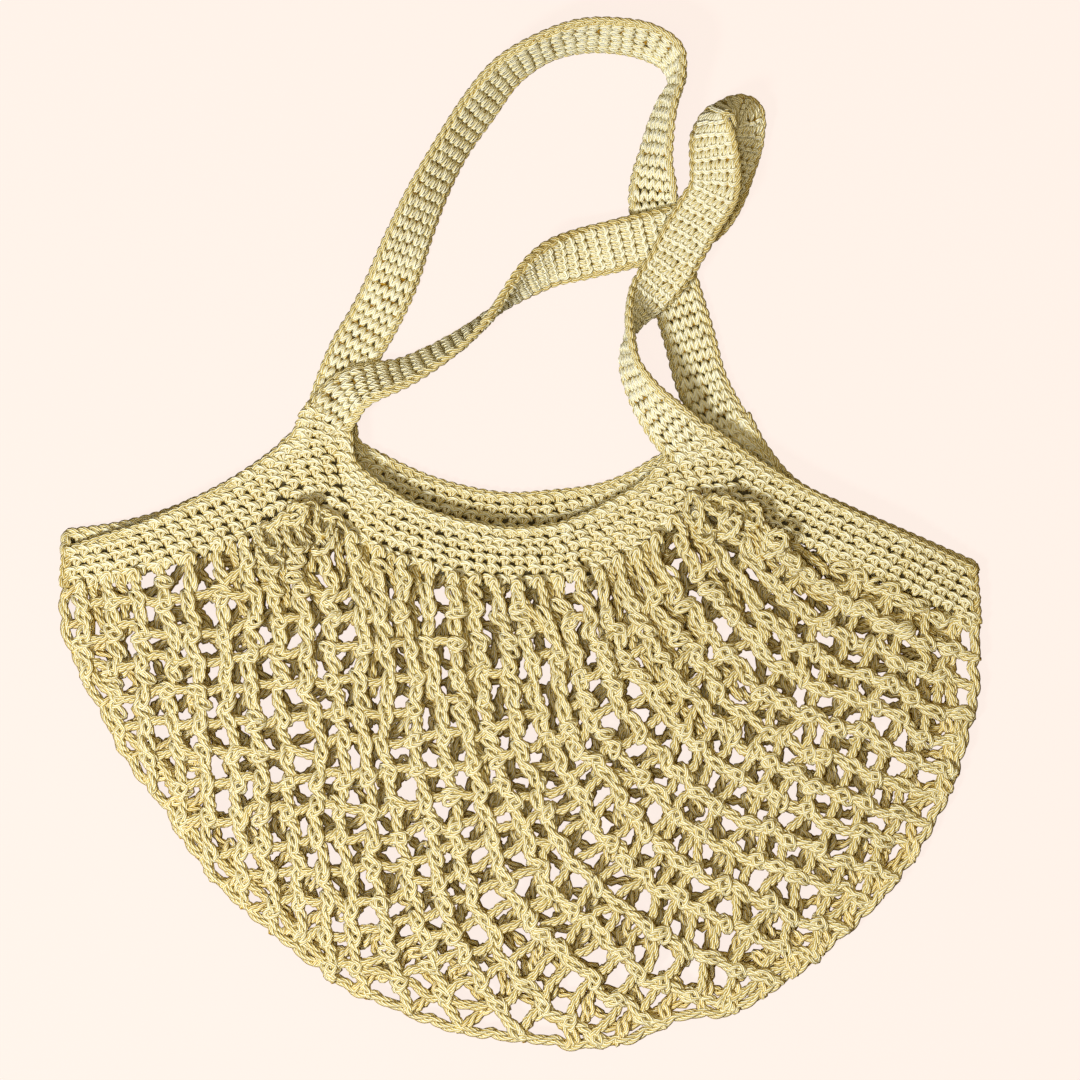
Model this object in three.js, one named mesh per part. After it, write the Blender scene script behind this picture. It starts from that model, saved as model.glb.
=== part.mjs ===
import * as THREE from 'three';

// Mesh market bag lying on its back: a net pouch, a rim band and two shoulder straps.
// Sizes are in millimetres, +Z is up from the table and +Y runs from the pouch to the straps.

// Thickness of the crocheted sheets
const NET_THICK = 3.0;
const BAND_THICK = 3.4;
const STRAP_THICK = 3.4;

// Strap width, and the clearance kept between the pieces
const STRAP_WIDTH = 22.5;
const SEAM_GAP = 0.7;

// Net openings on each face, and half of a bar as a share of one opening's pitch
const NET_COLUMNS = 18;
const NET_ROUNDS = 8;
const BAR_SHARE = 0.19;

// Rim sections to each net column, and strips across the band
const RIM_SPLITS = 3;
const BAND_STRIPS = 3;

// Height of the front sheet's middle at the fold and inside it, and how far the fold reaches in
const FOLD_HEIGHT = 5.6;
const FRONT_HEIGHT = 11.0;
const TIP_LENGTH = 50;
const FOLD_ROUNDING = 1.2;

// Net column sections at which each strap root begins and ends along the band
const ROOT_LEFT = { from: 13, to: 16 };
const ROOT_RIGHT = { from: 37, to: 40 };

// Cotton of the close stitches and of the net
const YARN_COLOR = '#e6d8a2';
const NET_COLOR = '#e2d196';

const rows = (names, values) => values.map(
  (row) => Object.fromEntries(names.map((name, k) => [name, row[k]])),
);

// Seam between band and net, from the left tip to the right tip
const FRONT_SEAM = rows(['x', 'y'], [
  [-215.5, -25], [-179.5, -19], [-147, -9], [-115, 2.5], [-95, 10.5], [-74.5, -4.5],
  [-42.5, -17], [-2, -23.5], [31, -19.5], [60, -5.5], [81.5, 9], [103.5, 11],
  [123, 0], [152.5, -13], [184.5, -27], [215.5, -42.5],
]);
const BACK_SEAM = rows(['x', 'y'], [
  [-215.5, -23], [-179.5, -15.5], [-147, -5], [-115, 7], [-95, 15], [-74.5, 7],
  [-42.5, -2.5], [-2, -8], [31, -4.5], [60, 6], [81.5, 16.5], [103.5, 19],
  [123, 4.5], [152.5, -11], [184.5, -25], [215.5, -40.5],
]);

// Upper edge of the band: left armhole, mouth and right armhole; strap roots lie between them
const FRONT_RIM = {
  left: rows(['x', 'y'], [
    [-214, -4.5], [-174, 6], [-150.5, 16.5], [-127, 29.5], [-104.5, 48.5], [-98, 62.5],
  ]),
  mouth: rows(['x', 'y'], [
    [-80.5, 49], [-79, 35], [-64.5, 22.5], [-49, 13], [-33.5, 7.5], [-9.5, 2.5],
    [15, 3.5], [31, 9], [47, 17], [59, 25], [69.5, 36.5],
  ]),
  right: rows(['x', 'y'], [
    [86, 52], [99, 42.5], [114.5, 32], [129, 23.5], [155, 10.5], [183.5, -2], [213.5, -16],
  ]),
};
const BACK_RIM = {
  left: rows(['x', 'y'], [
    [-213.5, 1], [-188.5, 4.5], [-160, 13], [-127, 30.5], [-104.5, 49.5], [-99.5, 60],
  ]),
  mouth: rows(['x', 'y'], [
    [-78.5, 52.5], [-78, 45], [-64.5, 36.5], [-44, 27], [-25.5, 21.5], [-6.5, 18.5],
    [13.5, 19.5], [36.5, 22.5], [52.5, 28.5], [68, 37.5], [86.5, 45.5],
  ]),
  right: rows(['x', 'y'], [
    [106, 57.5], [114.5, 42], [129, 25], [155, 12], [183.5, -0.5], [214, -14],
  ]),
};

// Folds in which the front of the net turns over to its back
const LEFT_FOLD = rows(['x', 'y'], [
  [-216, -31], [-213, -49.5], [-200, -77.5], [-185, -105.5], [-167.5, -129], [-144.5, -161.5],
]);
const BOTTOM_FOLD = rows(['x', 'y'], [
  [-144.5, -161.5], [-121, -183.5], [-103, -198], [-82, -213], [-56.5, -223.5], [-33, -232],
  [-9.5, -237], [12, -238.5], [26, -241.5], [40, -240.5], [55, -237.5], [68, -231],
  [80, -226.5], [95, -226], [113, -218.5], [126, -209], [139.5, -199.5], [153, -188],
  [165.5, -176], [178, -162],
]);
const RIGHT_FOLD = rows(['x', 'y'], [
  [215.5, -67], [212.5, -87], [207.5, -106], [200, -124.5], [191, -142.5], [178, -162],
]);

// Gathers of the front net: a crest from one place to another in shares across and down the net
const GATHERS = rows(['across', 'down', 'toAcross', 'toDown', 'height', 'halfWidth'], [
  [0.26, 0.00, 0.24, 0.14, 5.0, 0.040],
  [0.36, 0.00, 0.33, 0.55, 2.6, 0.024],
  [0.43, 0.00, 0.41, 0.60, 2.6, 0.024],
  [0.50, 0.00, 0.50, 0.65, 2.6, 0.024],
  [0.57, 0.00, 0.60, 0.60, 2.6, 0.024],
  [0.64, 0.00, 0.69, 0.50, 2.6, 0.024],
  [0.73, 0.00, 0.80, 0.24, 7.5, 0.040],
]);

// Strap routes: middle of the strap, its height and how far its left edge is rolled up
const BACK_STRAP = rows(['x', 'y', 'z', 'roll'], [
  [-84.5, 70.5, 2, 0], [-77.5, 87, 2, 0], [-69.5, 100.5, 2, 0], [-61, 117.5, 3.4, 7],
  [-52.5, 139.5, 7.4, 31], [-43.5, 160.5, 9.3, 44], [-32, 182, 10.2, 53], [-19.5, 200.5, 10, 51],
  [-6.5, 217, 10.8, 59], [11, 228.5, 11.3, 66], [29, 234, 11.1, 61], [47, 234, 10.9, 58],
  [61, 231, 10.8, 55], [71, 224.5, 11.2, 60], [73.5, 214, 11.9, 78], [69, 202.5, 11.7, 71],
  [65.5, 188.5, 10.9, 59], [63.5, 176, 9.8, 48], [63, 166, 6.6, 24], [63, 157, 2.6, 3],
  [65, 146, 2, 0], [68.5, 131, 2, 0], [73, 115, 2, 0], [79.5, 94, 2, 0],
  [86, 71, 2, 0],
]);
const FRONT_STRAP = rows(['x', 'y', 'z', 'roll'], [
  [-82, 65, 10.8, -18], [-74.5, 70, 12.2, -33], [-65.5, 73, 12.4, -45], [-55.5, 76, 11.8, -55],
  [-43.5, 82, 11.6, -62], [-32, 89, 12, -68], [-21, 97, 12.6, -77], [-11, 106, 13.2, -90],
  [2, 118.5, 12.2, -118], [15, 127.5, 9.2, -143], [29, 132, 6.4, -166], [45, 136, 6.4, -177],
  [61, 140, 6.8, -180], [76, 144, 6.8, -180], [86, 149, 6.6, -178], [92.5, 157.5, 6.4, -172],
  [99, 171.5, 6.8, -160], [105, 187, 8.8, -147], [104.5, 196, 11.4, -150], [97, 199.5, 13.8, -110],
  [91.5, 196.5, 14.4, -114], [90.5, 187, 14.8, -148], [91.5, 174, 15, -166], [91, 161.5, 14.8, -173],
  [84.5, 150.5, 13.8, -178], [78, 139.5, 13, -182], [69.5, 124.5, 12.4, -188], [60.5, 112.5, 12, -211],
  [54, 102, 12.6, -248], [51, 91.5, 13.2, -274], [51.5, 80.5, 13, -288], [58.5, 66, 12.2, -306],
  [67.5, 54.5, 11.4, -330],
]);

// Strap sections to each row of its table
const STRAP_STEPS = 2;

// Closed sheet: points are shared, triangles are collected face by face
class Sheet {
  constructor() {
    this.points = [];
    this.triangles = [];
  }

  add(x, y, z) {
    this.points.push(x, y, z);
    return this.points.length / 3 - 1;
  }

  quad(a, b, c, d) {
    this.triangles.push(a, b, c, a, c, d);
  }

  // Fan between a run of points and the shorter run facing it
  fan(run, facing) {
    let k = 0;
    for (let i = 0; i + 1 < run.length; i += 1) {
      const goal = Math.round(((i + 1) / (run.length - 1)) * (facing.length - 1));
      this.triangles.push(run[i], run[i + 1], facing[k]);
      while (k < goal) {
        this.triangles.push(run[i + 1], facing[k + 1], facing[k]);
        k += 1;
      }
    }
  }

  mesh(name, color) {
    const geometry = new THREE.BufferGeometry();
    geometry.setAttribute('position', new THREE.Float32BufferAttribute(this.points, 3));
    geometry.setIndex(this.triangles);
    geometry.computeVertexNormals();
    const material = new THREE.MeshStandardMaterial({ color, roughness: 0.92, metalness: 0 });
    const mesh = new THREE.Mesh(geometry, material);
    mesh.name = name;
    return mesh;
  }
}

// Turn the triangles from a place in the list to face the other way
function reverse(triangles, start) {
  for (let k = start; k < triangles.length; k += 3) {
    [triangles[k + 1], triangles[k + 2]] = [triangles[k + 2], triangles[k + 1]];
  }
}

const mix = (a, b, t) => a + (b - a) * t;
const smooth = (t) => {
  const s = Math.min(1, Math.max(0, t));
  return s * s * (3 - 2 * s);
};

// Smooth line through a table, asked for by its share of length
function line(table) {
  const points = table.map((row) => new THREE.Vector3(row.x, row.y, 0));
  const curve = new THREE.CatmullRomCurve3(points, false, 'centripetal');
  curve.arcLengthDivisions = 400;
  return (share) => curve.getPointAt(Math.min(1, Math.max(0, share)));
}

// Height of the front sheet's middle over the table, falling to the fold at both tips
function frontHeight(x, halfWidth) {
  const reach = (halfWidth - Math.abs(x)) / TIP_LENGTH;
  return mix(FOLD_HEIGHT, FRONT_HEIGHT, smooth(reach));
}

// Rise of the gathers at a place given in shares across and down the net
function gatherRise(across, down) {
  let rise = 0;
  for (const g of GATHERS) {
    const t = Math.min(1, Math.max(0, (down - g.down) / (g.toDown - g.down)));
    const off = (across - mix(g.across, g.toAcross, t)) / g.halfWidth;
    const along = 1 - smooth((down - 0.4 * g.toDown) / (0.9 * g.toDown));
    rise += g.height * Math.exp(-off * off) * along;
  }
  return rise;
}

// One face of the net as a patch between its seam and the three folds
function netFace(seam) {
  const top = line(seam);
  const left = line([seam[0], ...LEFT_FOLD]);
  const bottom = line(BOTTOM_FOLD);
  const right = line([seam[seam.length - 1], ...RIGHT_FOLD]);
  const corner = { tl: top(0), tr: top(1), bl: bottom(0), br: bottom(1) };
  return (across, down) => {
    const t = top(across);
    const b = bottom(across);
    const l = left(down);
    const r = right(down);
    const blend = (axis) => mix(t[axis], b[axis], down) + mix(l[axis], r[axis], across)
      - mix(mix(corner.tl[axis], corner.tr[axis], across),
        mix(corner.bl[axis], corner.br[axis], across), down);
    return { x: blend('x'), y: blend('y') };
  };
}

// Net pouch: front and back faces joined along the fold, open at the seam
function netPouch() {
  const sheet = new Sheet();
  const front = netFace(FRONT_SEAM);
  const back = netFace(BACK_SEAM);
  const frontZ = (across, down) => {
    const side = smooth((0.5 - Math.abs(across - 0.5)) / 0.13);
    const foot = smooth((1 - down) / 0.22);
    const flat = mix(FOLD_HEIGHT, FRONT_HEIGHT, Math.min(side, foot));
    return flat + gatherRise(across, down) * Math.min(side, foot);
  };
  const half = NET_THICK / 2;
  const pull = (across, down) => {
    const sides = (across <= 0 ? 1 : 0) - (across >= 1 ? 1 : 0);
    return { x: sides * NET_THICK, y: down >= 1 ? NET_THICK : 0 };
  };
  const seat = (face, isFront, isInner) => {
    const seen = new Map();
    return (across, down) => {
      const key = `${Math.round(across * 1e6)},${Math.round(down * 1e6)}`;
      if (!seen.has(key)) {
        const p = face(across, down);
        const d = isInner ? pull(across, down) : { x: 0, y: 0 };
        const up = isFront !== isInner ? half : -half;
        const z = (isFront ? frontZ(across, down) : half) + up;
        seen.set(key, sheet.add(p.x + d.x, p.y + d.y - SEAM_GAP * (1 - down), z));
      }
      return seen.get(key);
    };
  };
  const skins = {
    frontOuter: seat(front, true, false),
    frontInner: seat(front, true, true),
    backOuter: seat(back, false, false),
    backInner: seat(back, false, true),
  };
  const u = (i) => i / NET_COLUMNS;
  const v = (j) => j / NET_ROUNDS;
  const cell = (outer, inner, i, j) => {
    const topShares = [];
    const splits = j === 0 ? RIM_SPLITS : 1;
    for (let k = 0; k <= splits; k += 1) topShares.push(u(i + k / splits));
    const [u0, u1] = [u(i + BAR_SHARE), u(i + 1 - BAR_SHARE)];
    const [v0, v1] = [v(j + BAR_SHARE), v(j + 1 - BAR_SHARE)];
    const hole = (skin) => [skin(u0, v0), skin(u1, v0), skin(u1, v1), skin(u0, v1)];
    const skinFace = (skin, flip) => {
      const h = hole(skin);
      const top = topShares.map((share) => skin(share, v(j)));
      const [tl, tr] = [top[0], top[top.length - 1]];
      const [bl, br] = [skin(u(i), v(j + 1)), skin(u(i + 1), v(j + 1))];
      const start = sheet.triangles.length;
      sheet.fan(top, [h[0], h[1]]);
      sheet.quad(tr, br, h[2], h[1]);
      sheet.quad(br, bl, h[3], h[2]);
      sheet.quad(bl, tl, h[0], h[3]);
      if (flip) reverse(sheet.triangles, start);
    };
    skinFace(outer, true);
    skinFace(inner, false);
    const ho = hole(outer);
    const hi = hole(inner);
    for (let k = 0; k < 4; k += 1) sheet.quad(ho[(k + 1) % 4], ho[k], hi[k], hi[(k + 1) % 4]);
  };
  for (let i = 0; i < NET_COLUMNS; i += 1) {
    for (let j = 0; j < NET_ROUNDS; j += 1) {
      cell(skins.frontOuter, skins.frontInner, i, j);
      const start = sheet.triangles.length;
      cell(skins.backOuter, skins.backInner, i, j);
      reverse(sheet.triangles, start);
    }
  }
  // Rim along the seam
  const splits = NET_COLUMNS * RIM_SPLITS;
  for (let k = 0; k < splits; k += 1) {
    const at = (skin) => [skin(k / splits, 0), skin((k + 1) / splits, 0)];
    const [fo, fi] = [at(skins.frontOuter), at(skins.frontInner)];
    const [bo, bi] = [at(skins.backOuter), at(skins.backInner)];
    sheet.quad(fo[0], fo[1], fi[1], fi[0]);
    sheet.quad(bi[0], bi[1], bo[1], bo[0]);
  }
  // Fold: from the left tip around the bottom to the right tip
  const path = [];
  for (let j = 0; j <= NET_ROUNDS; j += 1) path.push([0, v(j)]);
  for (let i = 1; i <= NET_COLUMNS; i += 1) path.push([u(i), 1]);
  for (let j = NET_ROUNDS - 1; j >= 0; j -= 1) path.push([1, v(j)]);
  const crest = path.map(([across, down]) => {
    const f = sheet.points.slice(3 * skins.frontOuter(across, down));
    const b = sheet.points.slice(3 * skins.backOuter(across, down));
    const out = pull(across, down);
    const size = Math.hypot(out.x, out.y) || 1;
    const [dx, dy] = [out.x / size, out.y / size];
    const x = (f[0] + b[0]) / 2 - FOLD_ROUNDING * dx;
    const y = (f[1] + b[1]) / 2 - FOLD_ROUNDING * dy;
    return sheet.add(x, y, (f[2] + b[2]) / 2);
  });
  for (let k = 0; k + 1 < path.length; k += 1) {
    const at = (skin) => [skin(...path[k]), skin(...path[k + 1])];
    const [fo, fi] = [at(skins.frontOuter), at(skins.frontInner)];
    const [bo, bi] = [at(skins.backOuter), at(skins.backInner)];
    sheet.quad(fo[0], crest[k], crest[k + 1], fo[1]);
    sheet.quad(crest[k], bo[0], bo[1], crest[k + 1]);
    sheet.quad(bi[0], fi[0], fi[1], bi[1]);
  }
  for (const [tip, k] of [[0, 0], [1, path.length - 1]]) {
    const ring = [skins.frontOuter(tip, 0), skins.frontInner(tip, 0), skins.backInner(tip, 0),
      skins.backOuter(tip, 0), crest[k]];
    const start = sheet.triangles.length;
    for (let n = 0; n < 3; n += 1) sheet.triangles.push(ring[4], ring[n], ring[n + 1]);
    if (tip === 1) reverse(sheet.triangles, start);
  }
  return sheet.mesh('net_body', NET_COLOR);
}

// Upper edge of one band face at a section: armholes, mouth and the straight strap roots
function rimLine(rim) {
  const [left, mouth, right] = [line(rim.left), line(rim.mouth), line(rim.right)];
  const last = NET_COLUMNS * RIM_SPLITS;
  const share = (k, from, to) => (k - from) / (to - from);
  return (k) => {
    if (k <= ROOT_LEFT.from) return left(share(k, 0, ROOT_LEFT.from));
    if (k < ROOT_LEFT.to) return left(1).lerp(mouth(0), share(k, ROOT_LEFT.from, ROOT_LEFT.to));
    if (k <= ROOT_RIGHT.from) return mouth(share(k, ROOT_LEFT.to, ROOT_RIGHT.from));
    if (k < ROOT_RIGHT.to) return mouth(1).lerp(right(0), share(k, ROOT_RIGHT.from, ROOT_RIGHT.to));
    return right(share(k, ROOT_RIGHT.to, last));
  };
}

// Rim band: one closed ring of front and back faces, joined at the two tips
function rimBand() {
  const sheet = new Sheet();
  const last = NET_COLUMNS * RIM_SPLITS;
  const half = BAND_THICK / 2;
  const tipX = FRONT_SEAM[FRONT_SEAM.length - 1].x;
  const grid = (seamTable, rim, isFront, isInner) => {
    const seam = line(seamTable);
    const edge = rimLine(rim);
    const at = (k, s) => seam(k / last).lerp(edge(k), s / BAND_STRIPS);
    const columns = [];
    for (let k = 0; k <= last; k += 1) {
      const column = [];
      for (let s = 0; s <= BAND_STRIPS; s += 1) {
        const p = at(k, s);
        const up = isFront !== isInner ? half : -half;
        const z = (isFront ? frontHeight(p.x, tipX) : half) + up;
        if (isInner && k === 0) p.add(at(1, s).sub(p).setLength(BAND_THICK));
        if (isInner && k === last) p.add(at(last - 1, s).sub(p).setLength(BAND_THICK));
        column.push(sheet.add(p.x, p.y, z));
      }
      columns.push(column);
    }
    return columns;
  };
  const fo = grid(FRONT_SEAM, FRONT_RIM, true, false);
  const fi = grid(FRONT_SEAM, FRONT_RIM, true, true);
  const bo = grid(BACK_SEAM, BACK_RIM, false, false);
  const bi = grid(BACK_SEAM, BACK_RIM, false, true);
  const top = BAND_STRIPS;
  for (let k = 0; k < last; k += 1) {
    for (let s = 0; s < BAND_STRIPS; s += 1) {
      sheet.quad(fo[k][s], fo[k + 1][s], fo[k + 1][s + 1], fo[k][s + 1]);
      sheet.quad(fi[k][s], fi[k][s + 1], fi[k + 1][s + 1], fi[k + 1][s]);
      sheet.quad(bi[k][s], bi[k + 1][s], bi[k + 1][s + 1], bi[k][s + 1]);
      sheet.quad(bo[k][s], bo[k][s + 1], bo[k + 1][s + 1], bo[k + 1][s]);
    }
    sheet.quad(fo[k][top], fo[k + 1][top], fi[k + 1][top], fi[k][top]);
    sheet.quad(fo[k][0], fi[k][0], fi[k + 1][0], fo[k + 1][0]);
    sheet.quad(bi[k][top], bi[k + 1][top], bo[k + 1][top], bo[k][top]);
    sheet.quad(bi[k][0], bo[k][0], bo[k + 1][0], bi[k + 1][0]);
  }
  for (const k of [0, last]) {
    const start = sheet.triangles.length;
    for (let s = 0; s < BAND_STRIPS; s += 1) {
      sheet.quad(fo[k][s], fo[k][s + 1], bo[k][s + 1], bo[k][s]);
      sheet.quad(fi[k][s], bi[k][s], bi[k][s + 1], fi[k][s + 1]);
    }
    sheet.quad(fo[k][top], fi[k][top], bi[k][top], bo[k][top]);
    sheet.quad(fo[k][0], bo[k][0], bi[k][0], fi[k][0]);
    if (k === last) reverse(sheet.triangles, start);
  }
  return sheet.mesh('rim_band', YARN_COLOR);
}

// Strap: a flat ribbon with eased edges, from one root to the other, rolled as its table says
function strap(name, table, startRoot, endRoot) {
  const sheet = new Sheet();
  const up = new THREE.Vector3(0, 0, 1);
  const rootRow = (root, roll) => {
    const across = root.left.clone().sub(root.right);
    const ahead = across.clone().cross(up).normalize();
    const middle = root.left.clone().add(root.right).multiplyScalar(0.5);
    middle.addScaledVector(ahead, root.leaves ? SEAM_GAP : -SEAM_GAP);
    return { x: middle.x, y: middle.y, z: root.z, roll, side: across.normalize() };
  };
  const route = [rootRow(startRoot, 0), ...table, rootRow(endRoot, endRoot.roll)];
  const points = route.map((row) => new THREE.Vector3(row.x, row.y, row.z));
  const curve = new THREE.CatmullRomCurve3(points, false, 'centripetal');
  const rolls = route.map((row) => new THREE.Vector3(row.roll, 0, 0));
  const rollCurve = new THREE.CatmullRomCurve3(rolls, false, 'catmullrom', 0.5);
  const steps = (route.length - 1) * STRAP_STEPS;
  const [w, t] = [STRAP_WIDTH / 2, STRAP_THICK / 2];
  const ease = 0.55 * STRAP_THICK;
  const section = [[w, t * 0.45], [w - ease, t], [ease - w, t], [-w, t * 0.45],
    [-w, -t * 0.45], [ease - w, -t], [w - ease, -t], [w, -t * 0.45]];
  const rings = [];
  for (let k = 0; k <= steps; k += 1) {
    const at = k / steps;
    const middle = curve.getPoint(at);
    const ahead = curve.getTangent(at);
    let side = up.clone().cross(ahead).normalize();
    if (k === 0) side = route[0].side;
    if (k === steps) side = route[route.length - 1].side;
    const lift = k === 0 || k === steps ? up.clone() : ahead.clone().cross(side).normalize();
    const roll = THREE.MathUtils.degToRad(rollCurve.getPoint(at).x);
    const across = side.clone().multiplyScalar(Math.cos(roll)).addScaledVector(lift, Math.sin(roll));
    const normal = lift.clone().multiplyScalar(Math.cos(roll)).addScaledVector(side, -Math.sin(roll));
    rings.push(section.map(([a, n]) => {
      const p = middle.clone().addScaledVector(across, a).addScaledVector(normal, n);
      return sheet.add(p.x, p.y, p.z);
    }));
  }
  const n = section.length;
  for (let k = 0; k < steps; k += 1) {
    for (let s = 0; s < n; s += 1) {
      const next = (s + 1) % n;
      sheet.quad(rings[k][s], rings[k][next], rings[k + 1][next], rings[k + 1][s]);
    }
  }
  for (let s = 1; s + 1 < n; s += 1) {
    sheet.triangles.push(rings[0][0], rings[0][s + 1], rings[0][s]);
    sheet.triangles.push(rings[steps][0], rings[steps][s], rings[steps][s + 1]);
  }
  return sheet.mesh(name, YARN_COLOR);
}

const place = (row) => new THREE.Vector3(row.x, row.y, 0);
const end = (table) => place(table[table.length - 1]);

const bag = new THREE.Group();
bag.name = 'mesh_market_bag';
bag.add(netPouch());
bag.add(rimBand());
const leftRoot = (rim, z) => ({ left: end(rim.left), right: place(rim.mouth[0]), z, leaves: true });
const rightRoot = (rim, z, roll) => ({
  left: place(rim.right[0]), right: end(rim.mouth), z, roll, leaves: false,
});
bag.add(strap('handle_back', BACK_STRAP, leftRoot(BACK_RIM, 2), rightRoot(BACK_RIM, 2, 0)));
bag.add(strap(
  'handle_front', FRONT_STRAP, leftRoot(FRONT_RIM, FRONT_HEIGHT), rightRoot(FRONT_RIM, FRONT_HEIGHT, -360),
));

export default bag;
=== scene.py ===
"""Mesh market bag in crocheted cotton: net pouch, rim band and two straps, laid out on a pale floor."""

import math

import bpy
import numpy as np
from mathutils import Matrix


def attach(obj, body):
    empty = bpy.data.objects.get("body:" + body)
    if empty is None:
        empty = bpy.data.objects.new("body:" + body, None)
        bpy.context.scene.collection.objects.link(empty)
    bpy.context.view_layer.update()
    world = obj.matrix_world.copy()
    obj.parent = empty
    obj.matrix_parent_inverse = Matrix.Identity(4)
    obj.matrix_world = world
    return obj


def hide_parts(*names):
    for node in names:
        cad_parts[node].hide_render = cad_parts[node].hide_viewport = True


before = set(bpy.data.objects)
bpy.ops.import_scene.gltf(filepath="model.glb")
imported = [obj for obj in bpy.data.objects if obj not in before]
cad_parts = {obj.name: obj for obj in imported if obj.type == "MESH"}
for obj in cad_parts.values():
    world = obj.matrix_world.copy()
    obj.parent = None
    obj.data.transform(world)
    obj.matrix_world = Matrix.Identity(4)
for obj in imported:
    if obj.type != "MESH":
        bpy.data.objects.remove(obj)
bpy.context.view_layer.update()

bl_info = {
    "name": "Mesh market bag",
    "version": (1, 0, 0),
    "blender": (4, 5, 0),
    "location": "View3D > Sidebar > Bag",
    "description": "Crocheted net bag worked out from its seams, folds and strap routes",
    "category": "Object",
}

MM = 0.001
UP = np.array([0.0, 0.0, 1.0])


def mm(rows):
    """A table of millimetres as an array of metres."""
    return np.array(rows, float) * MM


# Seam between band and net, from the left tip to the right tip: x, y
FRONT_SEAM = mm([
    [-215.5, -25], [-179.5, -19], [-147, -9], [-115, 2.5], [-95, 10.5], [-74.5, -4.5],
    [-42.5, -17], [-2, -23.5], [31, -19.5], [60, -5.5], [81.5, 9], [103.5, 11],
    [123, 0], [152.5, -13], [184.5, -27], [215.5, -42.5],
])
BACK_SEAM = mm([
    [-215.5, -23], [-179.5, -15.5], [-147, -5], [-115, 7], [-95, 15], [-74.5, 7],
    [-42.5, -2.5], [-2, -8], [31, -4.5], [60, 6], [81.5, 16.5], [103.5, 19],
    [123, 4.5], [152.5, -11], [184.5, -25], [215.5, -40.5],
])

# Upper edge of the band: left armhole, mouth and right armhole, with the strap roots between
FRONT_RIM = {
    "left": mm([
        [-214, -7.5], [-196, -1.5], [-174, 5.5], [-150.5, 16.5], [-127, 29.5], [-104.5, 48.5], [-98, 62.5],
    ]),
    "mouth": mm([
        [-80.5, 49], [-79, 35], [-64.5, 22.5], [-49, 13], [-33.5, 7.5], [-9.5, 2.5],
        [15, 3.5], [31, 9], [47, 17], [59, 25], [69.5, 36.5],
    ]),
    "right": mm([
        [86, 52], [99, 42.5], [114.5, 32], [129, 23.5], [155, 10.5], [183.5, -2], [213.5, -16],
    ]),
}
BACK_RIM = {
    "left": mm([[-213.5, 1], [-188.5, 4.5], [-160, 13], [-127, 30.5], [-104.5, 49.5], [-99.5, 60]]),
    "mouth": mm([
        [-78.5, 52.5], [-78, 45], [-64.5, 36.5], [-44, 27], [-25.5, 21.5], [-6.5, 18.5],
        [13.5, 19.5], [36.5, 22.5], [52.5, 28.5], [68, 37.5], [86.5, 45.5],
    ]),
    "right": mm([[106, 57.5], [114.5, 42], [129, 25], [155, 12], [183.5, -0.5], [214, -14]]),
}

# Fold in which the front of the net turns over to its back, from the left tip to the right tip
FOLD = mm([
    [-215.5, -25], [-216, -31], [-213, -49.5], [-200, -77.5], [-185, -105.5], [-167.5, -129],
    [-144.5, -161.5], [-121, -183.5], [-103, -198], [-82, -213], [-56.5, -223.5], [-33, -232],
    [-9.5, -237], [12, -238.5], [26, -241.5], [40, -240.5], [55, -237.5], [68, -231],
    [80, -226.5], [95, -226], [113, -218.5], [126, -209], [139.5, -199.5], [153, -188],
    [165.5, -176], [178, -162], [191, -142.5], [200, -124.5], [207.5, -106], [212.5, -87],
    [215.5, -67], [215.5, -42.5],
])

# Gathers of the front net: a crest from one place to another in shares across and down the net
GATHERS = {
    "across": np.array([0.26, 0.36, 0.43, 0.50, 0.57, 0.64, 0.73]),
    "to_across": np.array([0.24, 0.33, 0.41, 0.50, 0.60, 0.69, 0.80]),
    "to_down": np.array([0.14, 0.55, 0.60, 0.65, 0.60, 0.50, 0.24]),
    "height": mm([5.0, 2.6, 2.6, 2.6, 2.6, 2.6, 7.5]),
    "half_width": np.array([0.040, 0.024, 0.024, 0.024, 0.024, 0.024, 0.040]),
}

# Strap routes: x, y, z of the strap's middle in millimetres, and its roll in degrees, left edge up
BACK_STRAP = np.array([
    [-84.5, 70.5, 2, 0], [-77.5, 87, 2, 0], [-69.5, 100.5, 2, 0], [-61, 117.5, 3.4, 7],
    [-52.5, 139.5, 7.4, 31], [-43.5, 160.5, 9.3, 44], [-32, 182, 10.2, 53], [-19.5, 200.5, 10, 51],
    [-6.5, 217, 10.8, 59], [11, 228.5, 11.3, 66], [29, 234, 11.1, 61], [47, 234, 10.9, 58],
    [61, 231, 10.8, 55], [71, 224.5, 11.2, 60], [73.5, 214, 11.9, 78], [69, 202.5, 11.7, 71],
    [65.5, 188.5, 10.9, 59], [63.5, 176, 9.8, 48], [63, 166, 6.6, 24], [63, 157, 2.6, 3],
    [65, 146, 2, 0], [68.5, 131, 2, 0], [73, 115, 2, 0], [79.5, 94, 2, 0],
    [86, 71, 2, 0],
], float)
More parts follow.
